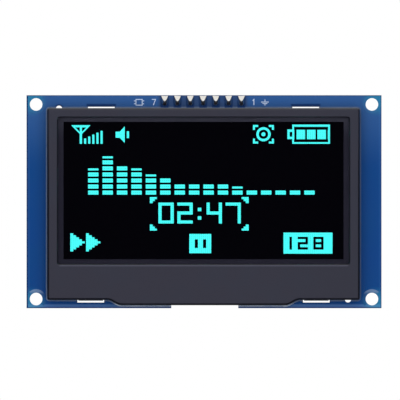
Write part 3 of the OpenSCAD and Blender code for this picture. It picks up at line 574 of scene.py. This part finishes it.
# A 7 and a 1 beside the row of pins, an outline of a chip left of them and an earth sign right
SIGN_H, SEVEN_X, ONE_X, CHIP_X, CHIP_HALF, LEG, EARTH_X = 1.14, -10.35, 9.55, -12.9, 0.62, 0.38, 12.1
sign_low = header_z - 0.72
sign_high = sign_low + SIGN_H
front_marks = figures("7", SEVEN_X, sign_low, SIGN_H, BOARD_FACE, -1)
front_marks += figures("1", ONE_X, sign_low, SIGN_H, BOARD_FACE, -1)
front_lines = [
    [(CHIP_X - CHIP_HALF, sign_low), (CHIP_X + CHIP_HALF, sign_low), (CHIP_X + CHIP_HALF, sign_high),
     (CHIP_X - CHIP_HALF, sign_high), (CHIP_X - CHIP_HALF, sign_low - 0.08)],
    *([(CHIP_X + end * CHIP_HALF, sign_low + SIGN_H * share),
       (CHIP_X + end * (CHIP_HALF + LEG), sign_low + SIGN_H * share)]
      for end in (-1, 1) for share in (0.25, 0.75)),
    [(EARTH_X, sign_high), (EARTH_X, sign_low + 0.62)],
    *([(EARTH_X - half, sign_low + high), (EARTH_X + half, sign_low + high)]
      for half, high in ((0.75, 0.62), (0.48, 0.34), (0.2, 0.06))),
]
front_marks += [stroke(line, BOARD_FACE, -1) for line in front_lines]
piece("front_signs", [(ink, front_marks)])


def frame_round(x, z, half_x, half_z, gap):
    """Outline of a part, in four corners, open in the middle of its long sides by gap each way."""
    return [stroke([(x + side * half_x, z + end * gap), (x + side * half_x, z + end * half_z),
                    (x, z + end * half_z)], 0, 1) for end in (-1, 1) for side in (-1, 1)]


# Height of the row of chip parts above the cable and of the select resistors, and the places of
# the inductor and the regulator
FLEX_ROW, SELECT_ROW, POWER, SUPPLY = -10.35, 9.55, (-22.25, -9.55), (18.85, 10.45)
ROUND_COIL = 2.75
back_marks = [stroke([(np.cos(a) * ROUND_COIL + POWER[0], np.sin(a) * ROUND_COIL + POWER[1])
                      for a in np.linspace(start, start + 2.2, 14)], 0, 1) for start in (0.47, 3.61)]
for x in (-5.2, -1.8, 1.8, 5.2, 9, 11.2, 13.4, -8.6):
    back_marks += frame_round(x, FLEX_ROW, 0.85, 1.65, 0.5)
for x in SELECT_X:
    back_marks += frame_round(x, SELECT_ROW, 0.8, 1.6, 0.5)
for x in (SUPPLY[0] - 5.3, SUPPLY[0] + 5.3, POWER[0] - 5.2):
    z = SUPPLY[1] if x > 0 else POWER[1]
    back_marks += frame_round(x, z, 1.1, 1.9, 0.6)
under_header = header_z - 1.5
back_marks += [stroke([(PIN_X[0] - 1.6, under_header), (PIN_X[-1] + 1.6, under_header)], 0, 1, 0.2)]
for number, pin_x in enumerate(PIN_X):
    back_marks += figures(str(PIN_COUNT - number), pin_x + 0.35, under_header - 1.6, 1.2, 0, 1, 0.15)
piece("back_signs", [(ink, back_marks)])

# ---- front frame ----
# One moulding in dark grey nylon. The mould's sparked faces leave a fine grain. Its rounded front edge is
# polished, so it comes out smoother, and painted shade darkens it; a painted highlight lies along the
# window's sill.

plastic = Finish("grey_moulding", tone(40, 40, 52), 0.42)
grain = plastic.noise(0.09, 3)
plastic.paint(grain.rise(0.35, 0.7) * 0.3, tone(46, 45, 58))
plastic.paint(plastic.noise(7, 2).rise(0.4, 0.7) * 0.3, tone(37, 43, 57))
plastic.paint(plastic.x.rise(8, 30) * 0.5, tone(39, 40, 52))
WINDOW_LOW, WINDOW_HALF = -12.4, 28.95
# Painted highlight along the window's sill
above_sill = plastic.z - WINDOW_LOW
sill = above_sill.rise(-0.55, -0.3) * above_sill.rise(0.05, -0.02)
sill = sill * abs(plastic.x - frame_x).rise(WINDOW_HALF, WINDOW_HALF - 0.5)
plastic.paint(sill * 0.4, tone(84, 84, 102))
# The polish and the painted shade start just behind the front face, later along the top, and end 0.9 mm
# deep
at_top = plastic.z.rise(2, 18)
into = plastic.y - frame_low[1]
polish_and_edge_shade = into.rise(0.002, 0.025) * (at_top * -1 + 1) + into.rise(0.004, 0.1) * at_top
polish_and_edge_shade = polish_and_edge_shade * into.rise(0.9, 0.5)
# Painted shade on the rounded edge and the sides
plastic.paint(polish_and_edge_shade * 0.95, tone(14, 15, 22))
plastic.drive("Roughness", grain * 0.2 + 0.36 - polish_and_edge_shade * 0.16)
plastic.bump(grain, 0.012)
plastic.dress("front_frame")

# ---- display panel ----
# Two sheets of glass bonded at the rim, with the black emitting layers between them, a grey
# polarizing film laminated over the front, and a white drying film in the pocket at the back.

SHEET_GAP = 0.01
film = Finish("polarizing_film", tone(12, 12, 18), 0.08)
film.shader.inputs["Alpha"].default_value = 0.06
film.paint(film.noise(14), tone(14, 12, 18))
film_low, film_high = box_of("polarizer_film")
piece("polarizing_sheet",
      [(film, [rounded_block(film_low, film_high - [0, SHEET_GAP, 0], 0.05)])], ["polarizer_film"])

glass = Finish("display_glass", tone(12, 14, 18), 0.03)
glass.shader.inputs["Alpha"].default_value = 0.04
glass.paint(glass.noise(20), tone(10, 10, 16))
glass_low, glass_high = box_of("front_glass")
piece("glass_sheet",
      [(glass, [rounded_block(glass_low, glass_high - [0, SHEET_GAP, 0], 0.1)])], ["front_glass"])

rim = Finish("sealed_glass", tone(48, 47, 61), 0.1)
# Painted light: the rim is paler towards the top
rim.paint(rim.z.rise(12, 17) * 0.8, tone(76, 77, 92))
rim.paint(rim.noise(1.5) * 0.3, tone(38, 38, 50))
rim.dress("cover_glass")

desiccant = Finish("drying_film", tone(214, 214, 206), 0.8)
desiccant.bump(desiccant.noise(0.3), 0.02)
desiccant.dress("drying_film")

dark = Finish("dark_field", tone(1, 1, 4), 0.06)
dark.paint(dark.noise(5), tone(2, 1, 4))
dark.dress("emitter_panel")

# The picture is laid out in dots, 128 across and 64 down, with a thin dark gap round each dot.
# Inside the aerial sign, between the bars, and round the level blocks and the battery's cells whole
# strips are left dark. From here to the glow all places and sizes are in dots.
field_low, field_high = box_of("emitter_panel")
DOT_W, DOT_H, FIRST_DOT = 0.409, 0.4, (1.1, 0.65)
AERIAL, FIRST_BAR, BAR_STEP, BAR_COUNT = 5.7, 7.78, 2, 5
CELL_X, CELL_Z, CELL_STEP, CELL_HALF_W, CELL_HALF_H = 112.55, 4.6, 5.05, 2.075, 2.35
CASE_X, CASE_HALF_W, CASE_HALF_H = 117.5, 8.3, 3.8
LEVEL_X, LEVEL_Z, LEVEL_STEP, LEVEL_RISE = 11.75, 33.45, 7, 3
LEVEL_HALF_W, LEVEL_HALF_H, LEVEL_TOP, LEVEL_FOOT = 2.5, 1.0, 13, 35.1
DOT_EDGE_X, DOT_EDGE_Z = 0.25, 0.45
lit = Finish("lit_dots", tone(2, 5, 7), 0.4)
across_dots = (lit.x - (field_low[0] + FIRST_DOT[0])) * (1 / DOT_W)
down_dots = (lit.z * -1 + (field_high[2] - FIRST_DOT[1])) * (1 / DOT_H)
aside = abs(across_dots - AERIAL)
wing = down_dots * -0.96 + 3.75
hollow = aside.rise(0.48, 0.6) * (wing - aside).rise(-0.06, 0.06) * down_dots.rise(1.08, 1.18)
between = abs((across_dots - FIRST_BAR).repeat(BAR_STEP)).rise(0.5, 0.6)
bars_start, bars_end = FIRST_BAR - 1, FIRST_BAR - 1 + BAR_STEP * BAR_COUNT
bars = across_dots.rise(bars_start - 0.02, bars_start + 0.02)
bars = bars * across_dots.rise(bars_end + 0.02, bars_end - 0.02)
bars = bars * (down_dots + across_dots.rise(10, 12) * 0.9).rise(3.5, 3.6) * down_dots.rise(12, 11.8)
cell_x, cell_z = abs((across_dots - CELL_X).repeat(CELL_STEP)), abs(down_dots - CELL_Z)
cell_gap = cell_x.rise(CELL_HALF_W - 0.06, CELL_HALF_W + 0.06)
cell_gap = cell_gap.most(cell_z.rise(CELL_HALF_H - 0.06, CELL_HALF_H + 0.06))
cell_gap = cell_gap * abs(across_dots - CASE_X).rise(CASE_HALF_W + 0.05, CASE_HALF_W - 0.05)
cell_gap = cell_gap * cell_z.rise(CASE_HALF_H + 0.05, CASE_HALF_H - 0.05)
level_x = abs((across_dots - LEVEL_X).repeat(LEVEL_STEP))
level_z = abs((down_dots - LEVEL_Z).repeat(LEVEL_RISE))
level_gap = level_x.rise(LEVEL_HALF_W, LEVEL_HALF_W + 0.1)
level_gap = level_gap.most(level_z.rise(LEVEL_HALF_H, LEVEL_HALF_H + 0.08))
level_gap = level_gap * down_dots.rise(LEVEL_TOP - 0.1, LEVEL_TOP + 0.1)
level_gap = level_gap * down_dots.rise(LEVEL_FOOT + 0.1, LEVEL_FOOT - 0.1)
dot_side = abs((across_dots - DOT_EDGE_X).repeat(1))
dot_end = abs((down_dots - DOT_EDGE_Z).repeat(1))
dot_gap = dot_side.least(dot_end).rise(0.1, 0.04)
unlit = hollow.most(between * bars).most(cell_gap).most(level_gap)
glow = (unlit * -1 + 1) * (dot_gap * -0.5 + 1) * 1.5
lit.shader.inputs["Emission Color"].default_value = tone(72, 250, 246)
lit.drive("Emission Strength", glow)
lit.dress("lit_dots")

silicon = Finish("silicon", tone(70, 72, 86), 0.15, metal=0.7)
silicon.paint(silicon.noise(0.3), tone(52, 50, 70))
silicon.dress("driver_chip")

foam = Finish("foam_tape", tone(30, 31, 34), 0.95)
foam.bump(foam.noise(0.12, 3), 0.08)
foam.dress("foam_tape_1", "foam_tape_2")

# ---- flex cable ----
# Amber polyimide film over printed copper lines. It folds round the board's lower edge, and its
# bared contacts are soldered to the back.

flex = Finish("flex_amber", tone(186, 108, 34), 0.26)
line = abs((flex.x - frame_x).repeat(CONTACT_PITCH)).rise(0.16, 0.11)
inside = abs(flex.x - frame_x).rise(6.05, 5.95)
flex.paint(line * inside * 0.8, tone(148, 74, 24))
flex.paint(flex.noise(4, 2) * 0.3, tone(160, 86, 26))
flex.bump(line * inside, 0.02)
flex.dress("flex_cable")

# ---- solder ----
# Tin solder. On the header it has climbed each pin from its pad. Its foot is nearly square above
# and round below, and towards the pin it takes the pin's square shape.

solder = Finish("solder", tone(222, 219, 213), 0.14, metal=1.0)
solder.drive("Roughness", solder.noise(0.3, 3) * 0.14 + 0.07)
solder.bump(solder.noise(0.5), 0.03)
solder.dress("flex_solder")

SOLDER_H, SOLDER_W, LOWER_CUT, PIN_HALF = 0.98, 1.5, 0.26, 0.32
# Powers of the outline: above and below at the foot, and all round at the pin
FOOT_ABOVE, FOOT_BELOW, AT_PIN = 12, 2.4, 5


def wetted_cone(x, z, number):
    """Solder round a pin. With s for 1 minus the height's share, the half width and the half height
    fall from the pad's to the pin's nearly in step with s. The outline is |a|^n + |b|^n = 1, its
    lower half is the shorter one, and a slight wave tells the seven apart."""
    share = np.linspace(1, 0, 14)[:, None]
    turn = np.linspace(0, 2 * np.pi, 48, endpoint=False)[None, :]
    upper = np.sin(turn) > 0
    power = np.where(upper, FOOT_ABOVE, FOOT_BELOW) * share + AT_PIN * (1 - share)
    outline = (np.abs(np.cos(turn)) ** power + np.abs(np.sin(turn)) ** power) ** (-1 / power)
    outline = outline * (1 + 0.02 * share * np.sin(3 * turn + 2 * number))
    across = (PIN_HALF * 0.98 + (SOLDER_W / 2 - PIN_HALF) * share ** 0.9) * outline * np.cos(turn)
    reach = PAD_H / 2 - PIN_HALF - np.where(upper, 0, LOWER_CUT)
    up = (PIN_HALF * 0.98 + reach * share ** 1.1) * outline * np.sin(turn)
    height = SOLDER_H * (1 - share) * (1 + 0.04 * np.sin(turn + number))
    return skin(np.stack([x + across, BOARD_FACE - height, z + up], axis=-1))


for number, pin_x in enumerate(PIN_X):
    piece(f"pin_solder_{number + 1}", [(solder, [wetted_cone(pin_x, header_z, number)])],
          [f"solder_joint_{number + 1}"], smooth=60)

# ---- header ----
# Seven square pins, gold over nickel, pushed through a strip of black nylon. Their front tips
# are tinned by the soldering.

nylon = Finish("header_nylon", tone(24, 24, 26), 0.4)
nylon.bump(nylon.noise(0.1, 3), 0.01)
nylon.drive("Roughness", nylon.noise(0.5, 3) * 0.2 + 0.3)
nylon.dress("header_body")

gold = Finish("pin_gold", tone(228, 196, 118), 0.2, metal=1.0)
gold.paint(gold.noise(0.4, 3, (1, 6, 1)).rise(0.4, 0.8) * 0.4, tone(204, 170, 96))
gold.paint(gold.y.rise(BOARD_FACE + 0.3, BOARD_FACE - 0.1), tone(222, 222, 224))
gold.drive("Roughness", gold.noise(0.15, 3, (1, 8, 1)) * 0.2 + 0.12)
gold.dress(*(f"header_pin_{i}" for i in range(1, PIN_COUNT + 1)))

# ---- chip capacitors and resistors ----
# Fired ceramic blocks with tinned caps on their ends, each soldered to two pads.

ceramic = Finish("capacitor_ceramic", tone(170, 138, 100), 0.5)
ceramic.paint(ceramic.noise(0.4, 3) * 0.5, tone(150, 118, 84))
ceramic.bump(ceramic.noise(0.08, 3), 0.01)
glaze = Finish("resistor_glaze", tone(24, 24, 28), 0.28)
glaze.paint(glaze.noise(0.3, 3) * 0.4, tone(34, 34, 40))
glaze.bump(glaze.noise(0.1), 0.01)
alumina = Finish("alumina", tone(222, 222, 216), 0.5)
alumina.bump(alumina.noise(0.06, 3), 0.01)
code_paint = Finish("code_paint", tone(214, 214, 210), 0.5)
code_paint.bump(code_paint.noise(0.1), 0.005)
tin = Finish("tinned_metal", tone(206, 208, 212), 0.3, metal=1.0)
tin.drive("Roughness", tin.noise(0.15, 3) * 0.25 + 0.2)
tin.bump(tin.noise(0.2, 3), 0.015)


CAP_L = 0.33
# Length, width and thickness; the capacitors from number LARGE_FROM on are the large ones
SMALL_CHIP, LARGE_CHIP, RESISTOR, LARGE_FROM = (1.6, 0.8, 0.75), (2.0, 1.25, 1.1), (1.6, 0.8, 0.4), 5


def placed(part, place):
    """A part made about the origin, put at x, z on the back, turned a quarter if place says so."""
    points, faces = part
    x, z, quarter = place
    if quarter:
        points = np.stack([points[:, 2], points[:, 1], -points[:, 0]], axis=-1)
    return points + [x, 0, z], faces


def fillet(side, length, width, height):
    """Wedge of solder up the end of a part. With a from 0 to 90 degrees its hollow face stands at
    reach (1 - sin a) from the end and at height (1 - cos a) above the copper."""
    arc = np.linspace(0, np.pi / 2, 7)
    end, reach = length / 2 - 0.04, 0.4
    across = side * np.append(end + reach * (1 - np.sin(arc)), end)
    up = COPPER_T + np.append(height * (1 - np.cos(arc)), 0)
    return skin(np.stack([np.column_stack([across, up, 0 * up + z]) for z in (-width / 2, width / 2)]))


def chip(length, width, thick, place):
    """Body, end caps and solder fillets of a chip part."""
    top, half_l, half_w = COPPER_T + thick, length / 2, width / 2
    body = rounded_block((-half_l + 0.1, COPPER_T + 0.02, -half_w + 0.02),
                         (half_l - 0.1, top - 0.02, half_w - 0.02), 0.04)
    caps = [rounded_block((left, COPPER_T, -half_w), (left + CAP_L, top, half_w), 0.06)
            for left in (-half_l, half_l - CAP_L)]
    joints = [fillet(side, length, width * 0.96, min(thick, 0.55) * 0.9) for side in (-1, 1)]
    return (placed(body, place), [placed(cap, place) for cap in caps],
            [placed(joint, place) for joint in joints])


def back_place(node):
    """Middle of a part on the back, and whether its long side stands upright."""
    low, high = box_of(node)
    middle, span = (low + high) / 2, high - low
    return middle[0], middle[2], bool(span[2] > span[0])


for number in range(1, 9):
    place = back_place(f"capacitor_{number}")
    body, caps, joints = chip(*(SMALL_CHIP if number < LARGE_FROM else LARGE_CHIP), place)
    piece(f"ceramic_chip_{number}", [(ceramic, [body]), (tin, caps), (solder, joints)],
          [f"capacitor_{number}"])

for number in range(1, 11):
    place = back_place(f"resistor_{number}")
    body, caps, joints = chip(*RESISTOR, place)
    cover = placed(rounded_block((-0.42, 0.4, -0.36), (0.42, 0.445, 0.36), 0.02), place)
    value = "103" if number < 6 else "472" if number < 9 else "100"
    code = [placed(mark, place) for mark in figures(value, 0.36, -0.13, 0.3, 0.445, 1, 0.05)]
    piece(f"resistor_chip_{number}",
          [(alumina, [body]), (glaze, [cover]), (tin, caps), (solder, joints), (code_paint, code)],
          [f"resistor_{number}"])

# ---- moulded packages ----
# Black epoxy bodies with tinned leads bent down to the board like a gull's wing. A printed dot
# marks the controller's first lead, and a printed band the diode's cathode.

epoxy = Finish("black_epoxy", tone(28, 29, 31), 0.45)
epoxy.paint(epoxy.noise(0.5, 3) * 0.3, tone(36, 37, 40))
epoxy.bump(epoxy.noise(0.07, 3), 0.012)


def tapered_body(length, width, low, high):
    """Moulded body: round rectangles that draw in by 0.12 above and below the parting line."""
    arc = np.linspace(0, np.pi / 2, 4)
    middle = (low + high) / 2
    levels = [(low, 0.12), (middle - 0.04, 0.0), (middle + 0.04, 0.0), (high - 0.04, 0.12), (high, 0.17)]
    turn = np.concatenate([arc + k * np.pi / 2 for k in range(4)])
    right, up = np.repeat([1, -1, -1, 1], 4), np.repeat([1, 1, -1, -1], 4)
    r = 0.1
    rings = np.stack([np.column_stack([
        right * (length / 2 - inset - r) + r * np.cos(turn), np.full(len(turn), level),
        up * (width / 2 - inset - r) + r * np.sin(turn)]) for level, inset in levels])
    return skin(rings)


def gull_lead(x, side, width, exit_y):
    """Lead 0.4 wide and 0.15 thick: out of the body, down two soft bends, and out along the pad."""
    start, foot = width / 2 - 0.1, COPPER_T + 0.075
    path = [(start, exit_y), (start + 0.22, exit_y), (start + 0.3, exit_y - 0.06),
            (start + 0.36, foot + 0.08), (start + 0.43, foot), (start + 0.7, foot)]
    path = np.array([(x, y, side * z) for z, y in path])
    return strip(path - [0.2, 0, 0], (1, 0, 0), 0.4, 0.15)


def heel(x, side, width):
    """Low mound of solder where a lead's foot meets its pad."""
    z = side * (width / 2 + 0.38)
    return rounded_block((x - 0.27, COPPER_T, z - 0.36), (x + 0.27, COPPER_T + 0.07, z + 0.36), 0.06)


def package(name, node, length, width, front, back, extra=()):
    """A package on the back with leads at the places in front (towards +Z) and back."""
    low, high = box_of(node)
    place = ((low[0] + high[0]) / 2, (low[2] + high[2]) / 2, bool(length < width))
    feet = [(x, side) for places, side in ((front, 1), (back, -1)) for x in places]
    leads = [gull_lead(x, side, width, 0.55) for x, side in feet]
    heels = [heel(x, side, width) for x, side in feet]
    groups = [(epoxy, [tapered_body(length, width, 0.1, 1.0)]), (tin, leads), (solder, heels), *extra]
    groups = [(finish, [placed(part, place) for part in parts]) for finish, parts in groups]
    piece(name, groups, [node])


def dot_mark(x, z):
    """Printed dot beside a package's first lead."""
    return turned([(0.11, 0.995), (0.11, 1.003), (0.02, 1.004)], x, z, 16)


LEAD_STEP = 0.95
package("controller_package", "boost_controller", 2.9, 1.6, (-LEAD_STEP, 0, LEAD_STEP),
        (-LEAD_STEP, 0, LEAD_STEP), [(code_paint, [dot_mark(-1.02, -0.45)])])
package("regulator_package", "voltage_regulator", 2.9, 1.36, (-LEAD_STEP, LEAD_STEP), (0,))
band = rounded_block((-0.6, 0.98, 0.75), (0.6, 1.004, 1.05), 0.01)
package("diode_package", "schottky_diode", 1.6, 2.9, (0,), (0,), [(code_paint, [band])])

# ---- inductor ----
# A drum of ferrite wound with enamelled copper wire. The lower flange stands on two tinned
# terminals.

ferrite = Finish("ferrite", tone(50, 51, 54), 0.5)
ferrite.paint(ferrite.noise(0.6, 3) * 0.4, tone(62, 62, 66))
ferrite.bump(ferrite.noise(0.1, 3), 0.03)
enamel = Finish("enamelled_wire", tone(172, 84, 38), 0.22, metal=0.7)
enamel.paint(enamel.noise(0.5) * 0.4, tone(150, 66, 26))
enamel.bump(enamel.noise(0.3), 0.01)

COIL_R, COIL_H, FLANGE, NECK_R, WIRE = 2.1, 2.6, 0.5, 0.95, 0.3
core_x, core_z, _ = back_place("boost_inductor")
upper_flange = COIL_H - FLANGE
core_profile = [(0.02, 0.12), (COIL_R - 0.1, 0.12), (COIL_R, 0.2), (COIL_R, FLANGE - 0.07),
                (COIL_R - 0.08, FLANGE), (NECK_R + 0.1, FLANGE), (NECK_R, FLANGE + 0.1),
                (NECK_R, upper_flange - 0.1), (NECK_R + 0.1, upper_flange), (COIL_R - 0.1, upper_flange),
                (COIL_R, upper_flange + 0.08), (COIL_R, COIL_H - 0.14), (COIL_R - 0.03, COIL_H - 0.06),
                (COIL_R - 0.14, COIL_H), (0.5, COIL_H), (0.42, COIL_H - 0.06), (0.02, COIL_H - 0.08)]
terminals = [rounded_block((core_x + side * 1.35 - 0.55, COPPER_T, core_z - 1.1),
                           (core_x + side * 1.35 + 0.55, 0.16, core_z + 1.1), 0.05) for side in (-1, 1)]
piece("drum_core", [(ferrite, [turned(core_profile, core_x, core_z, 64)]), (tin, terminals)],
      ["boost_inductor"])


def wire(path):
    """Round wire along a path: at each point a circle square to the path, spanned by a line square
    to Y and by one square to both."""
    along = np.gradient(path, axis=0)
    out = np.cross(along, (0, 1, 0))
    out /= np.linalg.norm(out, axis=1, keepdims=True)
    up = np.cross(out, along)
    up /= np.linalg.norm(up, axis=1, keepdims=True)
    turn = np.linspace(0, 2 * np.pi, 10, endpoint=False)[None, :, None]
    return skin(path[:, None] + WIRE / 2 * (np.cos(turn) * out[:, None] + np.sin(turn) * up[:, None]))


def winding(radius, start, end, turns, phase):
    """One layer of wire: a screw line that climbs from start to end."""
    turn = np.linspace(0, 2 * np.pi * turns, int(32 * turns)) + phase
    climb = np.linspace(start, end, len(turn))
    return wire(np.stack([core_x + radius * np.cos(turn), climb, core_z + radius * np.sin(turn)], axis=-1))


TURNS, OUTER_R, INNER_R = 4.4, 1.7, 1.42
coil_low, coil_high = FLANGE + WIRE / 2 + 0.01, upper_flange - WIRE / 2 - 0.01
layers = [winding(radius, coil_low, coil_high, TURNS, phase)
          for radius, phase in ((OUTER_R, 0.3), (INNER_R, 1.9))]
piece("wire_winding", [(enamel, layers)], ["inductor_coil"])

# ---- pads ----
# Tinned copper left bare by the mask under every part on the back.

PAD_T = 0.045


def flat_pad(x, z, half_x, half_z):
    """Pad with its top PAD_T above the board."""
    return rounded_block((x - half_x, -0.01, z - half_z), (x + half_x, PAD_T, z + half_z), 0.02, steps=2)


# For chip parts: distance of a pad from the middle, its half length and its half width
SMALL_PAD, LARGE_PAD = (0.88, 0.45, 0.5), (1.1, 0.55, 0.75)
pads = [flat_pad(x, contact_top - 0.6, 0.15, 1.05) for x in CONTACT_X]
for kind, count in (("capacitor", 8), ("resistor", 10)):
    for number in range(1, count + 1):
        x, z, upright = back_place(f"{kind}_{number}")
        large = kind == "capacitor" and number >= LARGE_FROM
        step, half_l, half_w = LARGE_PAD if large else SMALL_PAD
        for side in (-1, 1):
            pads.append(flat_pad(x, z + side * step, half_w, half_l) if upright
                        else flat_pad(x + side * step, z, half_l, half_w))
pads += [flat_pad(core_x + side * 1.7, core_z, 0.75, 1.3) for side in (-1, 1)]
control_x, control_z, _ = back_place("boost_controller")
pads += [flat_pad(control_x + x, control_z + side * 1.25, 0.3, 0.5)
         for x in (-LEAD_STEP, 0, LEAD_STEP) for side in (-1, 1)]
supply_x, supply_z, _ = back_place("voltage_regulator")
pads += [flat_pad(supply_x + x, supply_z + side * 1.13, 0.3, 0.5)
         for x, side in ((-LEAD_STEP, 1), (LEAD_STEP, 1), (0, -1))]
diode_x, diode_z, _ = back_place("schottky_diode")
pads += [flat_pad(diode_x + side * 1.95, diode_z, 0.55, 0.4) for side in (-1, 1)]
piece("bare_pads", [(solder, pads)])
